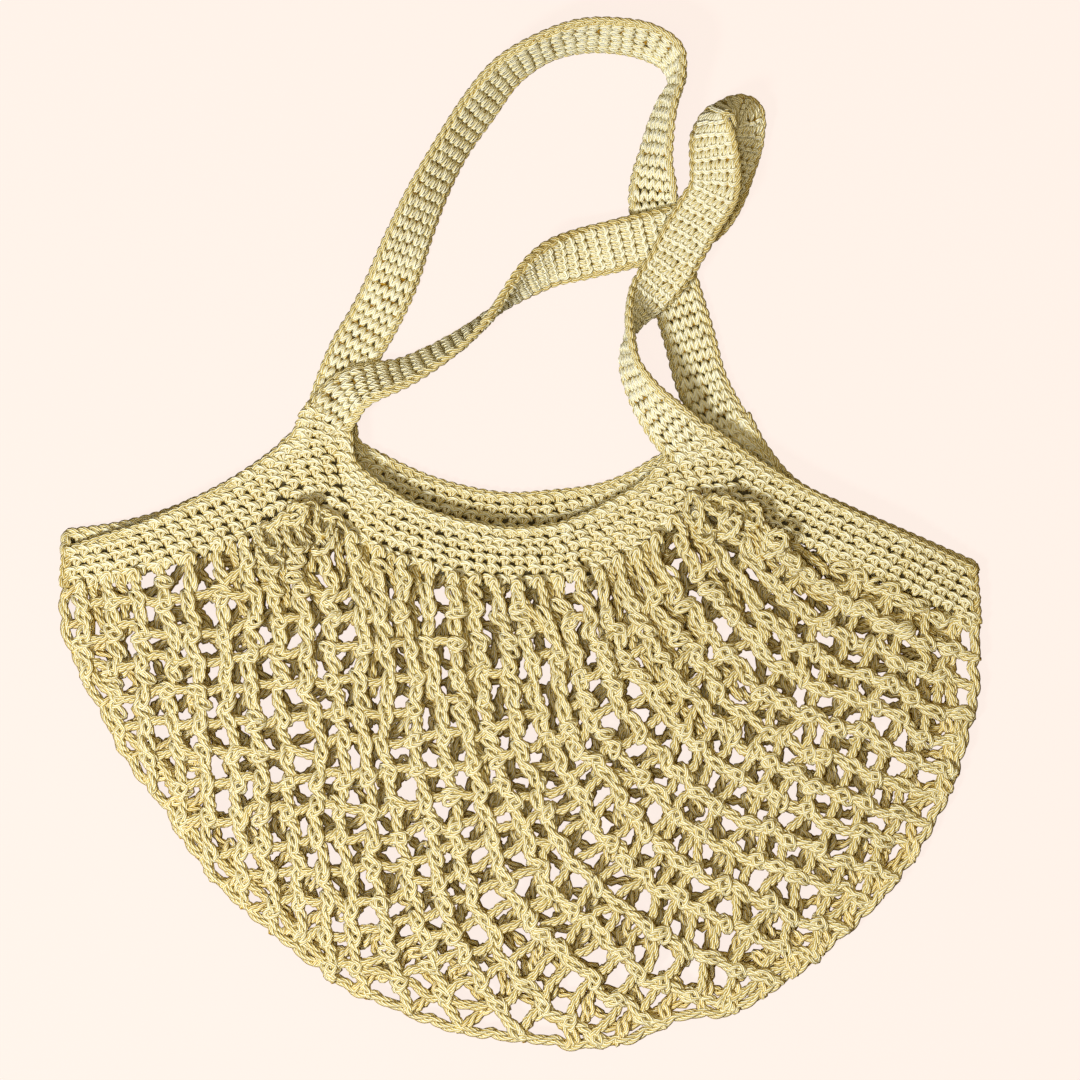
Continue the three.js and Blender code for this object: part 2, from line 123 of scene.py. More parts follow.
FRONT_STRAP = np.array([
    [-82, 65, 10.8, -18], [-74.5, 70, 12.2, -33], [-65.5, 73, 12.4, -45], [-55.5, 76, 11.8, -55],
    [-43.5, 82, 11.6, -62], [-32, 89, 12, -68], [-21, 97, 12.6, -77], [-11, 106, 13.2, -90],
    [2, 118.5, 12.2, -118], [15, 127.5, 9.2, -143], [29, 132, 6.4, -166], [45, 136, 6.4, -177],
    [61, 140, 6.8, -180], [76, 144, 6.8, -180], [86, 149, 6.6, -178], [92.5, 157.5, 6.4, -172],
    [99, 171.5, 6.8, -160], [105, 187, 8.8, -147], [104.5, 196, 11.4, -150], [97, 199.5, 13.8, -110],
    [91.5, 196.5, 14.4, -114], [90.5, 187, 14.8, -148], [91.5, 174, 15, -166], [91, 161.5, 14.8, -173],
    [84.5, 150.5, 13.8, -178], [78, 139.5, 13, -182], [69.5, 124.5, 12.4, -188], [60.5, 112.5, 12, -211],
    [54, 102, 12.6, -248], [51, 91.5, 13.2, -274], [51.5, 80.5, 13, -288], [58.5, 66, 12.2, -306],
    [67.5, 54.5, 11.4, -330],
], float)

# Sections of the band, and its spans along both armholes and the mouth, with the strap roots between
BAND_SECTIONS = 54
BAND_SPANS = {"left": (0, 13), "mouth": (16, 37), "right": (40, BAND_SECTIONS)}

# Ropes: how far a strand lies to the side of its rope's middle and above it
POST_ROPE = (0.0017, 0.0014)
ROUND_ROPE = (0.0014, 0.0012)
HEAD_ROPE = (0.0012, 0.0011)
FOLD_ROPE = (0.0013, 0.0013)

# Longest gap between two posts for a bar of the net, a close rung of its back and an arch over the band
BAR_REACH, RUNG_REACH, ARCH_REACH = 0.024, 0.026, 0.035

# Strands of a stitch, each with its rings: across and up its cell as shares, out of the cloth in mm
V_STITCH = [(10, np.array([
    [0.08, 0.94, -0.7], [0.13, 0.80, 0.3], [0.29, 0.46, 0.9], [0.45, 0.16, 0.3], [0.50, 0.06, -0.6],
    [0.55, 0.16, 0.3], [0.71, 0.46, 0.9], [0.87, 0.80, 0.3], [0.92, 0.94, -0.7],
]))]
RIDGE_STITCH = [
    (7, np.array([
        [-0.04, 0.56, -0.8], [0.14, 0.72, 0.6], [0.46, 0.83, 1.2], [0.80, 0.70, 0.7], [0.98, 0.52, -0.8],
    ])),
    (5, np.array([[0.76, 0.62, 0.3], [0.72, 0.40, 0.9], [0.60, 0.12, 0.6], [0.54, -0.10, -0.9]])),
    (5, np.array([[0.24, 0.64, 0.2], [0.24, 0.40, 0.7], [0.26, 0.12, 0.5], [0.30, -0.10, -0.9]])),
]
CLOSE_STITCH = [
    (8, np.array([
        [-0.04, 0.52, -0.9], [0.10, 0.72, 0.4], [0.32, 0.86, 1.0], [0.60, 0.84, 1.2], [0.84, 0.66, 0.6],
        [0.99, 0.44, -0.9],
    ])),
    (5, np.array([[0.70, 0.62, 0.2], [0.62, 0.38, 0.8], [0.50, 0.10, 0.4], [0.46, -0.10, -0.9]])),
    (5, np.array([[0.28, 0.66, 0.1], [0.30, 0.40, 0.6], [0.34, 0.12, 0.3], [0.38, -0.10, -0.9]])),
]


def unit(vectors):
    """Each vector over its own length."""
    return vectors / np.maximum(np.linalg.norm(vectors, axis=-1, keepdims=True), 1e-12)


def ease(share):
    """Smooth step: 3t² - 2t³ of a share held between 0 and 1."""
    t = np.clip(share, 0, 1)
    return t * t * (3 - 2 * t)


def smooth_line(points, steps=24, places=3):
    """Cubic pieces through all points. The slope at a point weighs both neighbours by the root of their
    distance, which is taken over the first columns only, so that a roll can ride along."""
    p = np.vstack([2 * points[0] - points[1], points, 2 * points[-1] - points[-2]])
    gap = np.linalg.norm(np.diff(p[:, :places], axis=0), axis=1)[:, None] ** 0.5
    before, here, after = gap[:-2], gap[1:-1], gap[2:]
    p0, p1, p2, p3 = p[:-3], p[1:-2], p[2:-1], p[3:]
    out = (p1 - p0) / before - (p2 - p0) / (before + here) + (p2 - p1) / here
    into = (p2 - p1) / here - (p3 - p1) / (here + after) + (p3 - p2) / after
    t = np.linspace(0, 1, steps, endpoint=False)[None, :, None]
    a, b, m, n = (x[:, None, :] for x in (p1, p2, out * here, into * here))
    cubic = (
        (2 * t**3 - 3 * t**2 + 1) * a + (t**3 - 2 * t**2 + t) * m
        + (3 * t**2 - 2 * t**3) * b + (t**3 - t**2) * n
    )
    return np.vstack([cubic.reshape(-1, p.shape[1]), points[-1]])


def length_along(line, places=3):
    """Length of a line up to each of its points."""
    steps = np.linalg.norm(np.diff(line[:, :places], axis=0), axis=1)
    return np.concatenate([[0], np.cumsum(steps)])


def at(places, line, marks):
    """A line's columns at places between its marks, straight between its points."""
    return np.stack([np.interp(places, marks, line[:, k]) for k in range(line.shape[1])], axis=-1)


def evenly(line, count, places=3):
    """A line again, with that many points at equal lengths."""
    along = length_along(line, places)
    return at(np.linspace(0, along[-1], count), line, along)


def flat_line(points, count):
    """Smooth line in the plane through all points, with that many points at equal lengths."""
    return evenly(smooth_line(points, places=2), count, 2)


def wobble(points, wavelength, seed):
    """Even noise of about -1 to 1: the mean of eight plane waves with seeded directions and phases."""
    rng = np.random.default_rng(seed)
    heading, phase = rng.uniform(0, 2 * math.pi, (2, 8))
    number = 2 * math.pi / (wavelength * rng.uniform(0.7, 1.4, 8))
    x, y = points[..., 0, None], points[..., 1, None]
    waves = np.sin((x * np.cos(heading) + y * np.sin(heading)) * number + phase)
    return waves.mean(-1) * 1.8


class YarnMesh:
    """Tubes of yarn that are collected as arrays and made into one mesh."""

    def __init__(self):
        self.points, self.faces, self.turns, self.lifts, self.tones = [], [], [], [], []
        self.count = 0

    def add(self, paths, radius, up, lift, tone, sides=5, closed=False, crown=0.82):
        """Rings of sides points about paths (strands, rings, 3). A ring's point at angle a is
        path + radius (cos a * side + sin a * top), side being square to the path and to up.
        The painted light share runs from 0, painted shade deep in the cloth, to 1, painted highlight on its
        crest, and goes by the painted top light times sin a about the ring: painted highlight on the tube's
        top, painted shade under it.
        Open ends are capped."""
        paths = np.asarray(paths, float)
        strands, rings, _ = paths.shape
        step = (np.roll(paths, -1, 1) - np.roll(paths, 1, 1)) if closed else np.gradient(paths, axis=1)
        ahead = unit(step)
        side = unit(np.cross(ahead, np.broadcast_to(up, paths.shape)))
        top = np.cross(side, ahead)
        angle = np.arange(sides) * 2 * math.pi / sides
        radius = np.broadcast_to(radius, (strands, rings))[..., None, None]
        ring = side[:, :, None] * np.cos(angle)[:, None] + top[:, :, None] * np.sin(angle)[:, None]
        # Painted highlight on the top of each tube and painted shade under it
        lift = np.broadcast_to(lift, (strands, rings))[..., None] + crown * np.sin(angle)
        tone = np.broadcast_to(np.reshape(tone, (-1, 1, 1)), (strands, rings, sides))
        self.points.append((paths[:, :, None] + radius * ring).reshape(-1, 3))
        self.lifts.append(lift.ravel())
        self.tones.append(tone.ravel())
        starts = self.count + np.arange(strands)[:, None] * rings * sides
        self.count += strands * rings * sides
        faces = grid_faces(rings, sides, closed, True)
        self.faces.append((starts[..., None] + faces).reshape(-1, 4))
        run = np.linalg.norm(np.diff(paths, axis=1, append=paths[:, :1]), axis=2)
        along = np.concatenate([np.zeros((strands, 1)), np.cumsum(run, axis=1)], axis=1) / MM
        i, a = np.meshgrid(np.arange(rings if closed else rings - 1), np.arange(sides), indexing="ij")
        corners = ((i, a), (i + 1, a), (i + 1, a + 1), (i, a + 1))
        turn = [np.stack(np.broadcast_arrays(c / sides, along[:, row]), -1) for row, c in corners]
        self.turns.append(np.stack(turn, -2).reshape(-1, 2))
        if not closed:
            corner = np.arange(sides)
            self.faces.append(np.concatenate([starts + corner, starts + rings * sides - 1 - corner]))
            self.turns.append(np.zeros((2 * strands * sides, 2)))

    def build(self, name, material):
        """One object at the origin from all the tubes, none below the floor, with UV map and attributes."""
        points = np.concatenate(self.points)
        points[:, 2] = np.maximum(points[:, 2], 0)
        return mesh_object(
            name, points, self.faces, material,
            np.concatenate(self.turns), np.concatenate(self.lifts), np.concatenate(self.tones),
        )


def grid_faces(rows, columns, rows_closed, columns_closed):
    """Quads of a grid of points that are numbered row by row, over the seam where a way round is closed."""
    i, j = np.meshgrid(
        np.arange(rows if rows_closed else rows - 1), np.arange(columns if columns_closed else columns - 1),
        indexing="ij",
    )
    i_on, j_on = (i + 1) % rows, (j + 1) % columns
    corners = ((i, j), (i_on, j), (i_on, j_on), (i, j_on))
    return np.stack([row * columns + column for row, column in corners], -1).reshape(-1, 4)


def mesh_object(name, points, face_groups, material, turns=None, lifts=None, tones=None):
    """Object at the origin from an array of points and groups of like faces."""
    mesh = bpy.data.meshes.new(name)
    sizes = np.concatenate([np.full(len(f), f.shape[1]) for f in face_groups])
    corners = np.concatenate([f.ravel() for f in face_groups]).astype(np.int32)
    mesh.vertices.add(len(points))
    mesh.vertices.foreach_set("co", points.astype(np.float32).ravel())
    mesh.loops.add(len(corners))
    mesh.loops.foreach_set("vertex_index", corners)
    mesh.polygons.add(len(sizes))
    starts = np.concatenate([[0], np.cumsum(sizes)[:-1]])
    mesh.polygons.foreach_set("loop_start", starts.astype(np.int32))
    mesh.update(calc_edges=True)
    mesh.shade_smooth()
    if turns is not None:
        mesh.uv_layers.new(name="yarn").data.foreach_set("uv", turns.astype(np.float32).ravel())
    # The painted light share goes to the material as a point attribute
    for label, values in (("lift", lifts), ("tone", tones)):
        if values is not None:
            layer = mesh.attributes.new(label, "FLOAT", "POINT")
            layer.data.foreach_set("value", values.astype(np.float32))
    mesh.materials.append(material)
    piece = bpy.data.objects.new(name, mesh)
    bpy.context.scene.collection.objects.link(piece)
    return piece


def strands_about(paths, up, phase, count, offsets):
    """Strands about paths (n, rings, 3), each a share of a turn after the last. offsets gives how far a
    strand lies to the side and up at an angle."""
    side = unit(np.cross(up, unit(np.gradient(paths, axis=1))))
    made = []
    for k in range(count):
        aside, above = offsets(phase + 2 * math.pi * k / count)
        made.append(paths + side * aside[..., None] + up * above[..., None])
    return np.stack(made, 1).reshape(-1, *paths.shape[1:])


def plait(paths, up, phase, width, depth, count=3):
    """Flat plait: a strand lies width sin(a) to the side and depth sin(2a) up."""
    return strands_about(paths, up, phase, count, lambda a: (width * np.sin(a), depth * np.sin(2 * a)))


def twist(paths, phase, spread, count, size=1.0):
    """Twisted rope: a strand lies wide sin(a) to the side and deep cos(a) up, both spread times size."""
    wide, deep = spread[0] * size, spread[1] * size
    return strands_about(paths, UP, phase, count, lambda a: (wide * np.sin(a), deep * np.cos(a)))


# Shading

class Value:
    """A node's socket that Python's operators work on; each operation adds a Math node."""

    def __init__(self, shade, socket):
        self.shade, self.socket = shade, socket

    def _math(self, operation, *values):
        return self.shade.node("ShaderNodeMath", {"operation": operation}, *values)

    def __add__(self, other):
        return self._math("ADD", self, other)

    def __sub__(self, other):
        return self._math("SUBTRACT", self, other)

    def __rsub__(self, other):
        return self._math("SUBTRACT", other, self)

    def __mul__(self, other):
        return self._math("MULTIPLY", self, other)

    def sin(self):
        return self._math("SINE", self)

    def held(self):
        """The value held between 0 and 1."""
        return self.shade.node("ShaderNodeClamp", {}, self)

    __radd__, __rmul__ = __add__, __mul__


class Shade:
    """A material's node tree with one Principled shader."""

    def __init__(self, name):
        self.material = bpy.data.materials.new(name)
        self.material.use_nodes = True
        self.tree = self.material.node_tree
        self.shader = next(n for n in self.tree.nodes if n.type == "BSDF_PRINCIPLED")

    def node(self, kind, settings=None, *inputs, output=0, **named):
        """Any node: its settings first, then its sockets by place or by name."""
        made = self.tree.nodes.new(kind)
        for key, value in (settings or {}).items():
            setattr(made, key, value)
        for key, value in [*enumerate(inputs), *((k.replace("_", " "), v) for k, v in named.items())]:
            self.put(made.inputs[key], value)
        return Value(self, made.outputs[output])

    def put(self, socket, value):
        """A link from a Value, or a plain number or colour, into a socket."""
        if isinstance(value, Value):
            self.tree.links.new(value.socket, socket)
        else:
            socket.default_value = value

    def mix(self, share, first, second):
        """First colour to second colour by a share."""
        made = self.tree.nodes.new("ShaderNodeMix")
        made.data_type = "RGBA"
        colours = [s for s in made.inputs if s.type == "RGBA"]
        self.put(made.inputs[0], share)
        for socket, colour in zip(colours, (first, second)):
            self.put(socket, colour if isinstance(colour, Value) else (*colour, 1))
        return Value(self, next(s for s in made.outputs if s.type == "RGBA"))

    def feed(self, **named):
        """Values and colours into the shader's own sockets."""
        for key, value in named.items():
            self.put(self.shader.inputs[key.replace("_", " ")], value)


def cotton(name, yarn, main):
    """Matt plied cotton. Plies run round the strand as sin(2π (plies * around + along / lay)), as narrow
    strokes of painted highlight that also raise the bump. By its painted light share a place goes from
    painted shade deep in the cloth over painted ochre shade on the sides to the main colour, which tone and
    soft noise cloud with the warm one, and on to a painted highlight on the crest."""
    shade = Shade(name)
    uv = shade.node("ShaderNodeUVMap", {"uv_map": "yarn"})
    around = shade.node("ShaderNodeSeparateXYZ", {}, uv)
    along = Value(shade, around.socket.node.outputs[1])
    place = shade.node("ShaderNodeTexCoord", {}, output="Object")
    # Painted light share from the mesh
    lift = shade.node("ShaderNodeAttribute", {"attribute_name": "lift"}, output="Fac")
    tone = shade.node("ShaderNodeAttribute", {"attribute_name": "tone"}, output="Fac")
    ply = ((around * yarn.plies + along * (1 / yarn.lay_mm)) * (2 * math.pi)).sin() * 0.5 + 0.5
    cloud = shade.node("ShaderNodeTexNoise", {}, Vector=place, Scale=38.0, Detail=3.0)
    fibre = shade.node("ShaderNodeTexNoise", {}, Vector=place, Scale=2600.0, Detail=2.0)
    # Painted light share: painted shade deep in the cloth and under each strand, painted highlight on its top
    # and on the ply strokes
    painted_light_share = lift - 0.15 + (ply * ply - 0.375) * 0.75 + (fibre - 0.5) * 0.3
    # Painted highlight where the share is highest
    crest = ((painted_light_share - 0.78) * 1.7).held()
    clouded = ((cloud - 0.42) * 2.2 + (tone - 0.5) * 0.9).held()
    body = shade.mix(clouded, main, [0.5 * (a + b) for a, b in zip(main, yarn.warm)])
    # Painted shade: deep colour, then ochre on the sides, up to the main colour
    low = shade.mix((painted_light_share * 2).held(), yarn.deep, yarn.painted_side_shade)
    high = shade.mix((painted_light_share * 2 - 1).held(), low, body)
    shade.feed(
        Base_Color=shade.mix(crest, high, yarn.light),
        Roughness=0.86 + (fibre - 0.5) * 0.16,
        Specular_IOR_Level=0.08,
        Sheen_Weight=0.03,
        Sheen_Roughness=0.5,
    )
    height = ply * 0.9 + fibre * 0.4
    shade.feed(Normal=shade.node("ShaderNodeBump", {}, Strength=0.7, Distance=0.0006, Height=height))
    return shade.material


def pinhole_shade_sheet(name, yarn):
    """Painted shade: a dark sheet inside the close stitches, which shows as dark pin holes between them."""
    shade = Shade(name)
    place = shade.node("ShaderNodeTexCoord", {}, output="Object")
    cloud = shade.node("ShaderNodeTexNoise", {}, Vector=place, Scale=420.0, Detail=2.0)
    shade.feed(Base_Color=shade.mix((cloud - 0.5) * 0.3, yarn.painted_pinhole_shade, yarn.deep), Roughness=0.95)
    return shade.material


# Settings

def length(name, text, default):
    """A size in metres that a user may change."""
    return bpy.props.FloatProperty(name=name, description=text, default=default, unit="LENGTH", precision=5)


def colour(name, text, default):
    """A colour that a user may change."""
    return bpy.props.FloatVectorProperty(
        name=name, description=text, default=default, size=3, subtype="COLOR", min=0, max=1
    )


def amount(name, text, default):
    """A plain number that a user may change."""
    return bpy.props.FloatProperty(name=name, description=text, default=default)


class YarnSettings(bpy.types.PropertyGroup):
    """Thickness, plies and colours of the cotton, with its painted highlight and painted shades."""
    radius: length("Radius", "Half of the strand's thickness", 0.00142)
    plies: amount("Plies", "Strokes of ply round the strand", 6.0)
    lay_mm: amount("Lay", "Millimetres over which one ply takes the next one's place", 3.0)
    # Painted highlight on the crest of the yarn
    light: colour("Light", "Crest of the yarn", (0.95, 0.95, 0.82))
    main: colour("Main", "Yarn of the front, band and straps", (0.89, 0.855, 0.54))
    warm: colour("Warm", "Warmer patches of the yarn", (0.88, 0.75, 0.29))
    # Painted shade: the back's yarn is painted more golden and a little darker than the front's
    shaded: colour("Shaded", "Yarn of the back, seen through the front", (0.95, 0.74, 0.24))
    # Painted shade on the sides of a strand
    painted_side_shade: colour("Ochre", "Yarn on the sides of a strand", (0.61, 0.48, 0.15))
    # Painted shade deep in the cloth
    deep: colour("Deep", "Yarn deep in the cloth", (0.35, 0.19, 0.012))
    # Painted shade in the pin holes between the close stitches
    painted_pinhole_shade: colour("Hollow", "Dark inside of the close stitches", (0.05, 0.04, 0.015))


class NetSettings(bpy.types.PropertyGroup):
    """Lattice and lie of the net."""
    ladder_x: length("Ladder X", "Start across of the line that crosses all posts", -0.206)
    ladder_y: length("Ladder Y", "Start along of the line that crosses all posts", -0.062)
    post_pitch: length("Post pitch", "Distance between the posts of tall stitches", 0.0132)
    gathered_pitch: length("Gathered pitch", "Distance between posts drawn together", 0.0104)
    round_pitch: length("Round pitch", "Height of one round", 0.0148)
    fold_height: length("Fold height", "Middle of the rope along the fold", 0.0050)
    front_height: length("Front height", "Middle of the front layer", 0.0108)
    back_height: length("Back height", "Middle of the back layer", 0.0031)
    fold_reach: length("Fold reach", "How far in from the fold the front layer rises", 0.045)


class BandSettings(bpy.types.PropertyGroup):
    """Close stitches of the rim band and the straps."""
    thickness: length("Thickness", "Thickness of the close cloth under its stitches", 0.0008)
    stitch_width: length("Stitch width", "Length of one stitch along its row in the band", 0.0064)
    row_height: length("Row height", "Height of one row of the band", 0.0044)
    strap_width: length("Strap width", "Width of the straps", 0.0225)
    strap_row: length("Strap row", "Height of one row of a strap", 0.0056)


class StageSettings(bpy.types.PropertyGroup):
    """Camera, floor and light."""
    view_width: length("View width", "Width that the picture takes in at the bag's height", 0.5076)
    view_x: length("View X", "Middle of the picture across", 0.0094)
    view_y: length("View Y", "Middle of the picture along", -0.00235)
    camera_height: length("Camera height", "Height of the camera over the floor", 1.8)
    floor: colour("Floor", "Colour of the plain floor under its glow", (0.04, 0.036, 0.032))
    glow_tint: colour("Glow tint", "Pale colour in which the floor glows", (1.0, 0.875, 0.805))
    glow: amount("Floor glow", "Light that the floor gives of itself", 0.96)
    key: amount("Key light", "Power of the key light in watts", 36.0)
    top: amount("Top light", "Power in watts of the light over the bag", 8.0)
    fill: amount("Fill light", "Strength of the even light all round", 0.09)
    tint: colour("Fill tint", "Warm colour of the light in the shade", (1.0, 0.66, 0.18))


# Net

def heading(xy):
    """Direction of the posts at a place: straight down on the left, and the more to the right the further
    the place lies to the right and down."""
    steepest, swing, reach = 86, 66, 0.240
    turn = ease((xy[..., 0] - 0.55 * xy[..., 1] + 0.010) / reach)
    angle = np.radians(steepest - swing * turn)
    return np.stack([np.cos(angle), -np.sin(angle)], -1)


def square_to(directions):
    """Directions in the plane turned a quarter to the left: (x, y) becomes (-y, x)."""
    return np.stack([-directions[..., 1], directions[..., 0]], -1)


def trace(points, towards, step, count):
    """Lines from points along a field of directions, (lines, count + 1, 2): each step takes the direction
    that holds half a step on."""
    rows = [points]
    for _ in range(count):
        middle = rows[-1] + 0.5 * step * towards(rows[-1])
        rows.append(rows[-1] + step * towards(middle))
    return np.stack(rows, 1)


def inside(xy, outline):
    """Whether each point lies in a closed outline: an odd number of its edges crosses the way to the
    right."""
    start, end = outline, np.roll(outline, -1, 0)
    x, y = xy[..., 0, None], xy[..., 1, None]
    spans = (start[:, 1] > y) != (end[:, 1] > y)
    rise = np.where(end[:, 1] == start[:, 1], 1, end[:, 1] - start[:, 1])
    slope = (end[:, 0] - start[:, 0]) / rise
    return (spans & (x < start[:, 0] + (y - start[:, 1]) * slope)).sum(-1) % 2 == 1


class Post:
    """Line of one post with the length at each of its points, where it leaves the seam and meets the fold,
    and the lengths at which rounds cross it."""

    def __init__(self, line, marks, first, last, pitch):
        self.line, self.marks, self.first, self.last = line, marks, first, last
        self.total = last - first
        self.stops = np.arange(first + 0.5 * pitch, last - 0.3 * pitch, pitch)

    def spot(self, lengths):
        """Places on the post at some lengths."""
        return at(lengths, self.line, self.marks)

    def ahead(self, lengths):
        """Directions of the post at some lengths."""
        return unit(self.spot(lengths + MM) - self.spot(lengths - MM))

    def follow(self, before, pitch):
        """Rounds from the post before it, each at the nearest place of this one. Rounds that would lie
        close together join, and where they part or end new ones start."""
        way = np.arange(self.first + 0.4 * pitch, self.last - 0.3 * pitch, 0.5 * MM)
        if len(way) < 3:
            return
        spots = before.spot(before.stops)
        feet = np.unique(np.linalg.norm(self.spot(way) - spots[:, None], axis=2).argmin(1))
        feet = way[feet[(feet > 0) & (feet < len(way) - 1)]]
        if not len(feet):
            return
        feet = feet[np.concatenate([[True], np.diff(feet) > 0.62 * pitch])]
        number = np.concatenate([[0], np.cumsum(np.maximum(1, np.round(np.diff(feet) / pitch)))])
        inner = np.interp(np.arange(number[-1] + 1), number, feet)
        inner[1:-1] = 0.7 * inner[1:-1] + 0.15 * (inner[:-2] + inner[2:])
        above = np.arange(inner[0] - pitch, way[0], -pitch)[::-1]
        below = np.arange(inner[-1] + pitch, way[-1], pitch)
        self.stops = np.concatenate([above, inner, below])


def net_posts(net, seam, mirrored):
    """Posts of one layer; every second one is a gather between two whole posts. The ladder line crosses all
    posts squarely from the left fold. Posts leave it both ways along their heading, closer where the net is
    gathered, and keep the longest run of their line between seam and fold."""
    flip = np.array([-1.0 if mirrored else 1.0, 1.0])
    outline = np.vstack([flat_line(seam, 240), flat_line(FOLD, 320)[::-1]])
    start, ladder_step, ladder_steps = np.array([[net.ladder_x, net.ladder_y]]), MM, 560
    ladder = trace(start, lambda p: square_to(heading(p)), ladder_step, ladder_steps)[0]
    gather_middle, gather_reach = 0.01, 0.09
    drawn = np.exp(-((ladder[:, 0] - gather_middle) / gather_reach) ** 2)
    pitch = net.post_pitch + (net.gathered_pitch - net.post_pitch) * drawn
    number = np.cumsum(ladder_step / pitch)
    seeds = at(np.arange(0.25, number[-1], 0.5), ladder, number)
    step, before, after, fewest = 0.0016, 90, 230, 10
    upward = trace(seeds, lambda p: -heading(p), step, before)[:, :0:-1]
    lines = np.concatenate([upward, trace(seeds, heading, step, after)], 1) * flip
    marks = (np.arange(before + after + 1) - before) * step
    posts = []
    for line, within in zip(lines, inside(lines, outline)):
        runs = np.flatnonzero(np.diff(np.concatenate([[0], within.astype(int), [0]]))).reshape(-1, 2)
        begin, end = runs[np.argmax(runs[:, 1] - runs[:, 0])] if len(runs) else (0, 0)
        kept = end - begin >= fewest
        posts.append(Post(line, marks, marks[begin], marks[end - 1], net.round_pitch) if kept else None)
    whole = [post for post in posts[::2] if post]
    for previous, post in zip(whole, whole[1:]):
        post.follow(previous, net.round_pitch)
    return posts


def fold_distance(xy):
    """Distance of each point from the fold line."""
    line = flat_line(FOLD, 260)
    flat = xy.reshape(-1, 2)
    gap = np.linalg.norm(flat[:, None] - line[None], axis=2).min(1)
    return gap.reshape(xy.shape[:-1])


def across_net(xy):
    """Place across the net as a share from the left tip to the right tip."""
    return (xy[..., 0] - FOLD[0, 0]) / (FOLD[-1, 0] - FOLD[0, 0])


def puff(xy):
    """How far the net stands over the band, from 0 to 1: two round humps below the strap roots."""
    across = across_net(xy)
    return 0.6 * np.exp(-((across - 0.255) / 0.05) ** 2) + np.exp(-((across - 0.745) / 0.06) ** 2)


def gather_height(xy, down):
    """Rise of the gathers, each a ridge of height exp(-off²) that fades out downwards."""
    g = GATHERS
    t = np.clip(down[..., None] / g["to_down"], 0, 1)
    crest = g["across"] + (g["to_across"] - g["across"]) * t
    off = (across_net(xy)[..., None] - crest) / g["half_width"]
    fade = 1 - ease((down[..., None] - 0.4 * g["to_down"]) / (0.9 * g["to_down"]))
    return (g["height"] * np.exp(-off * off) * fade).sum(-1)


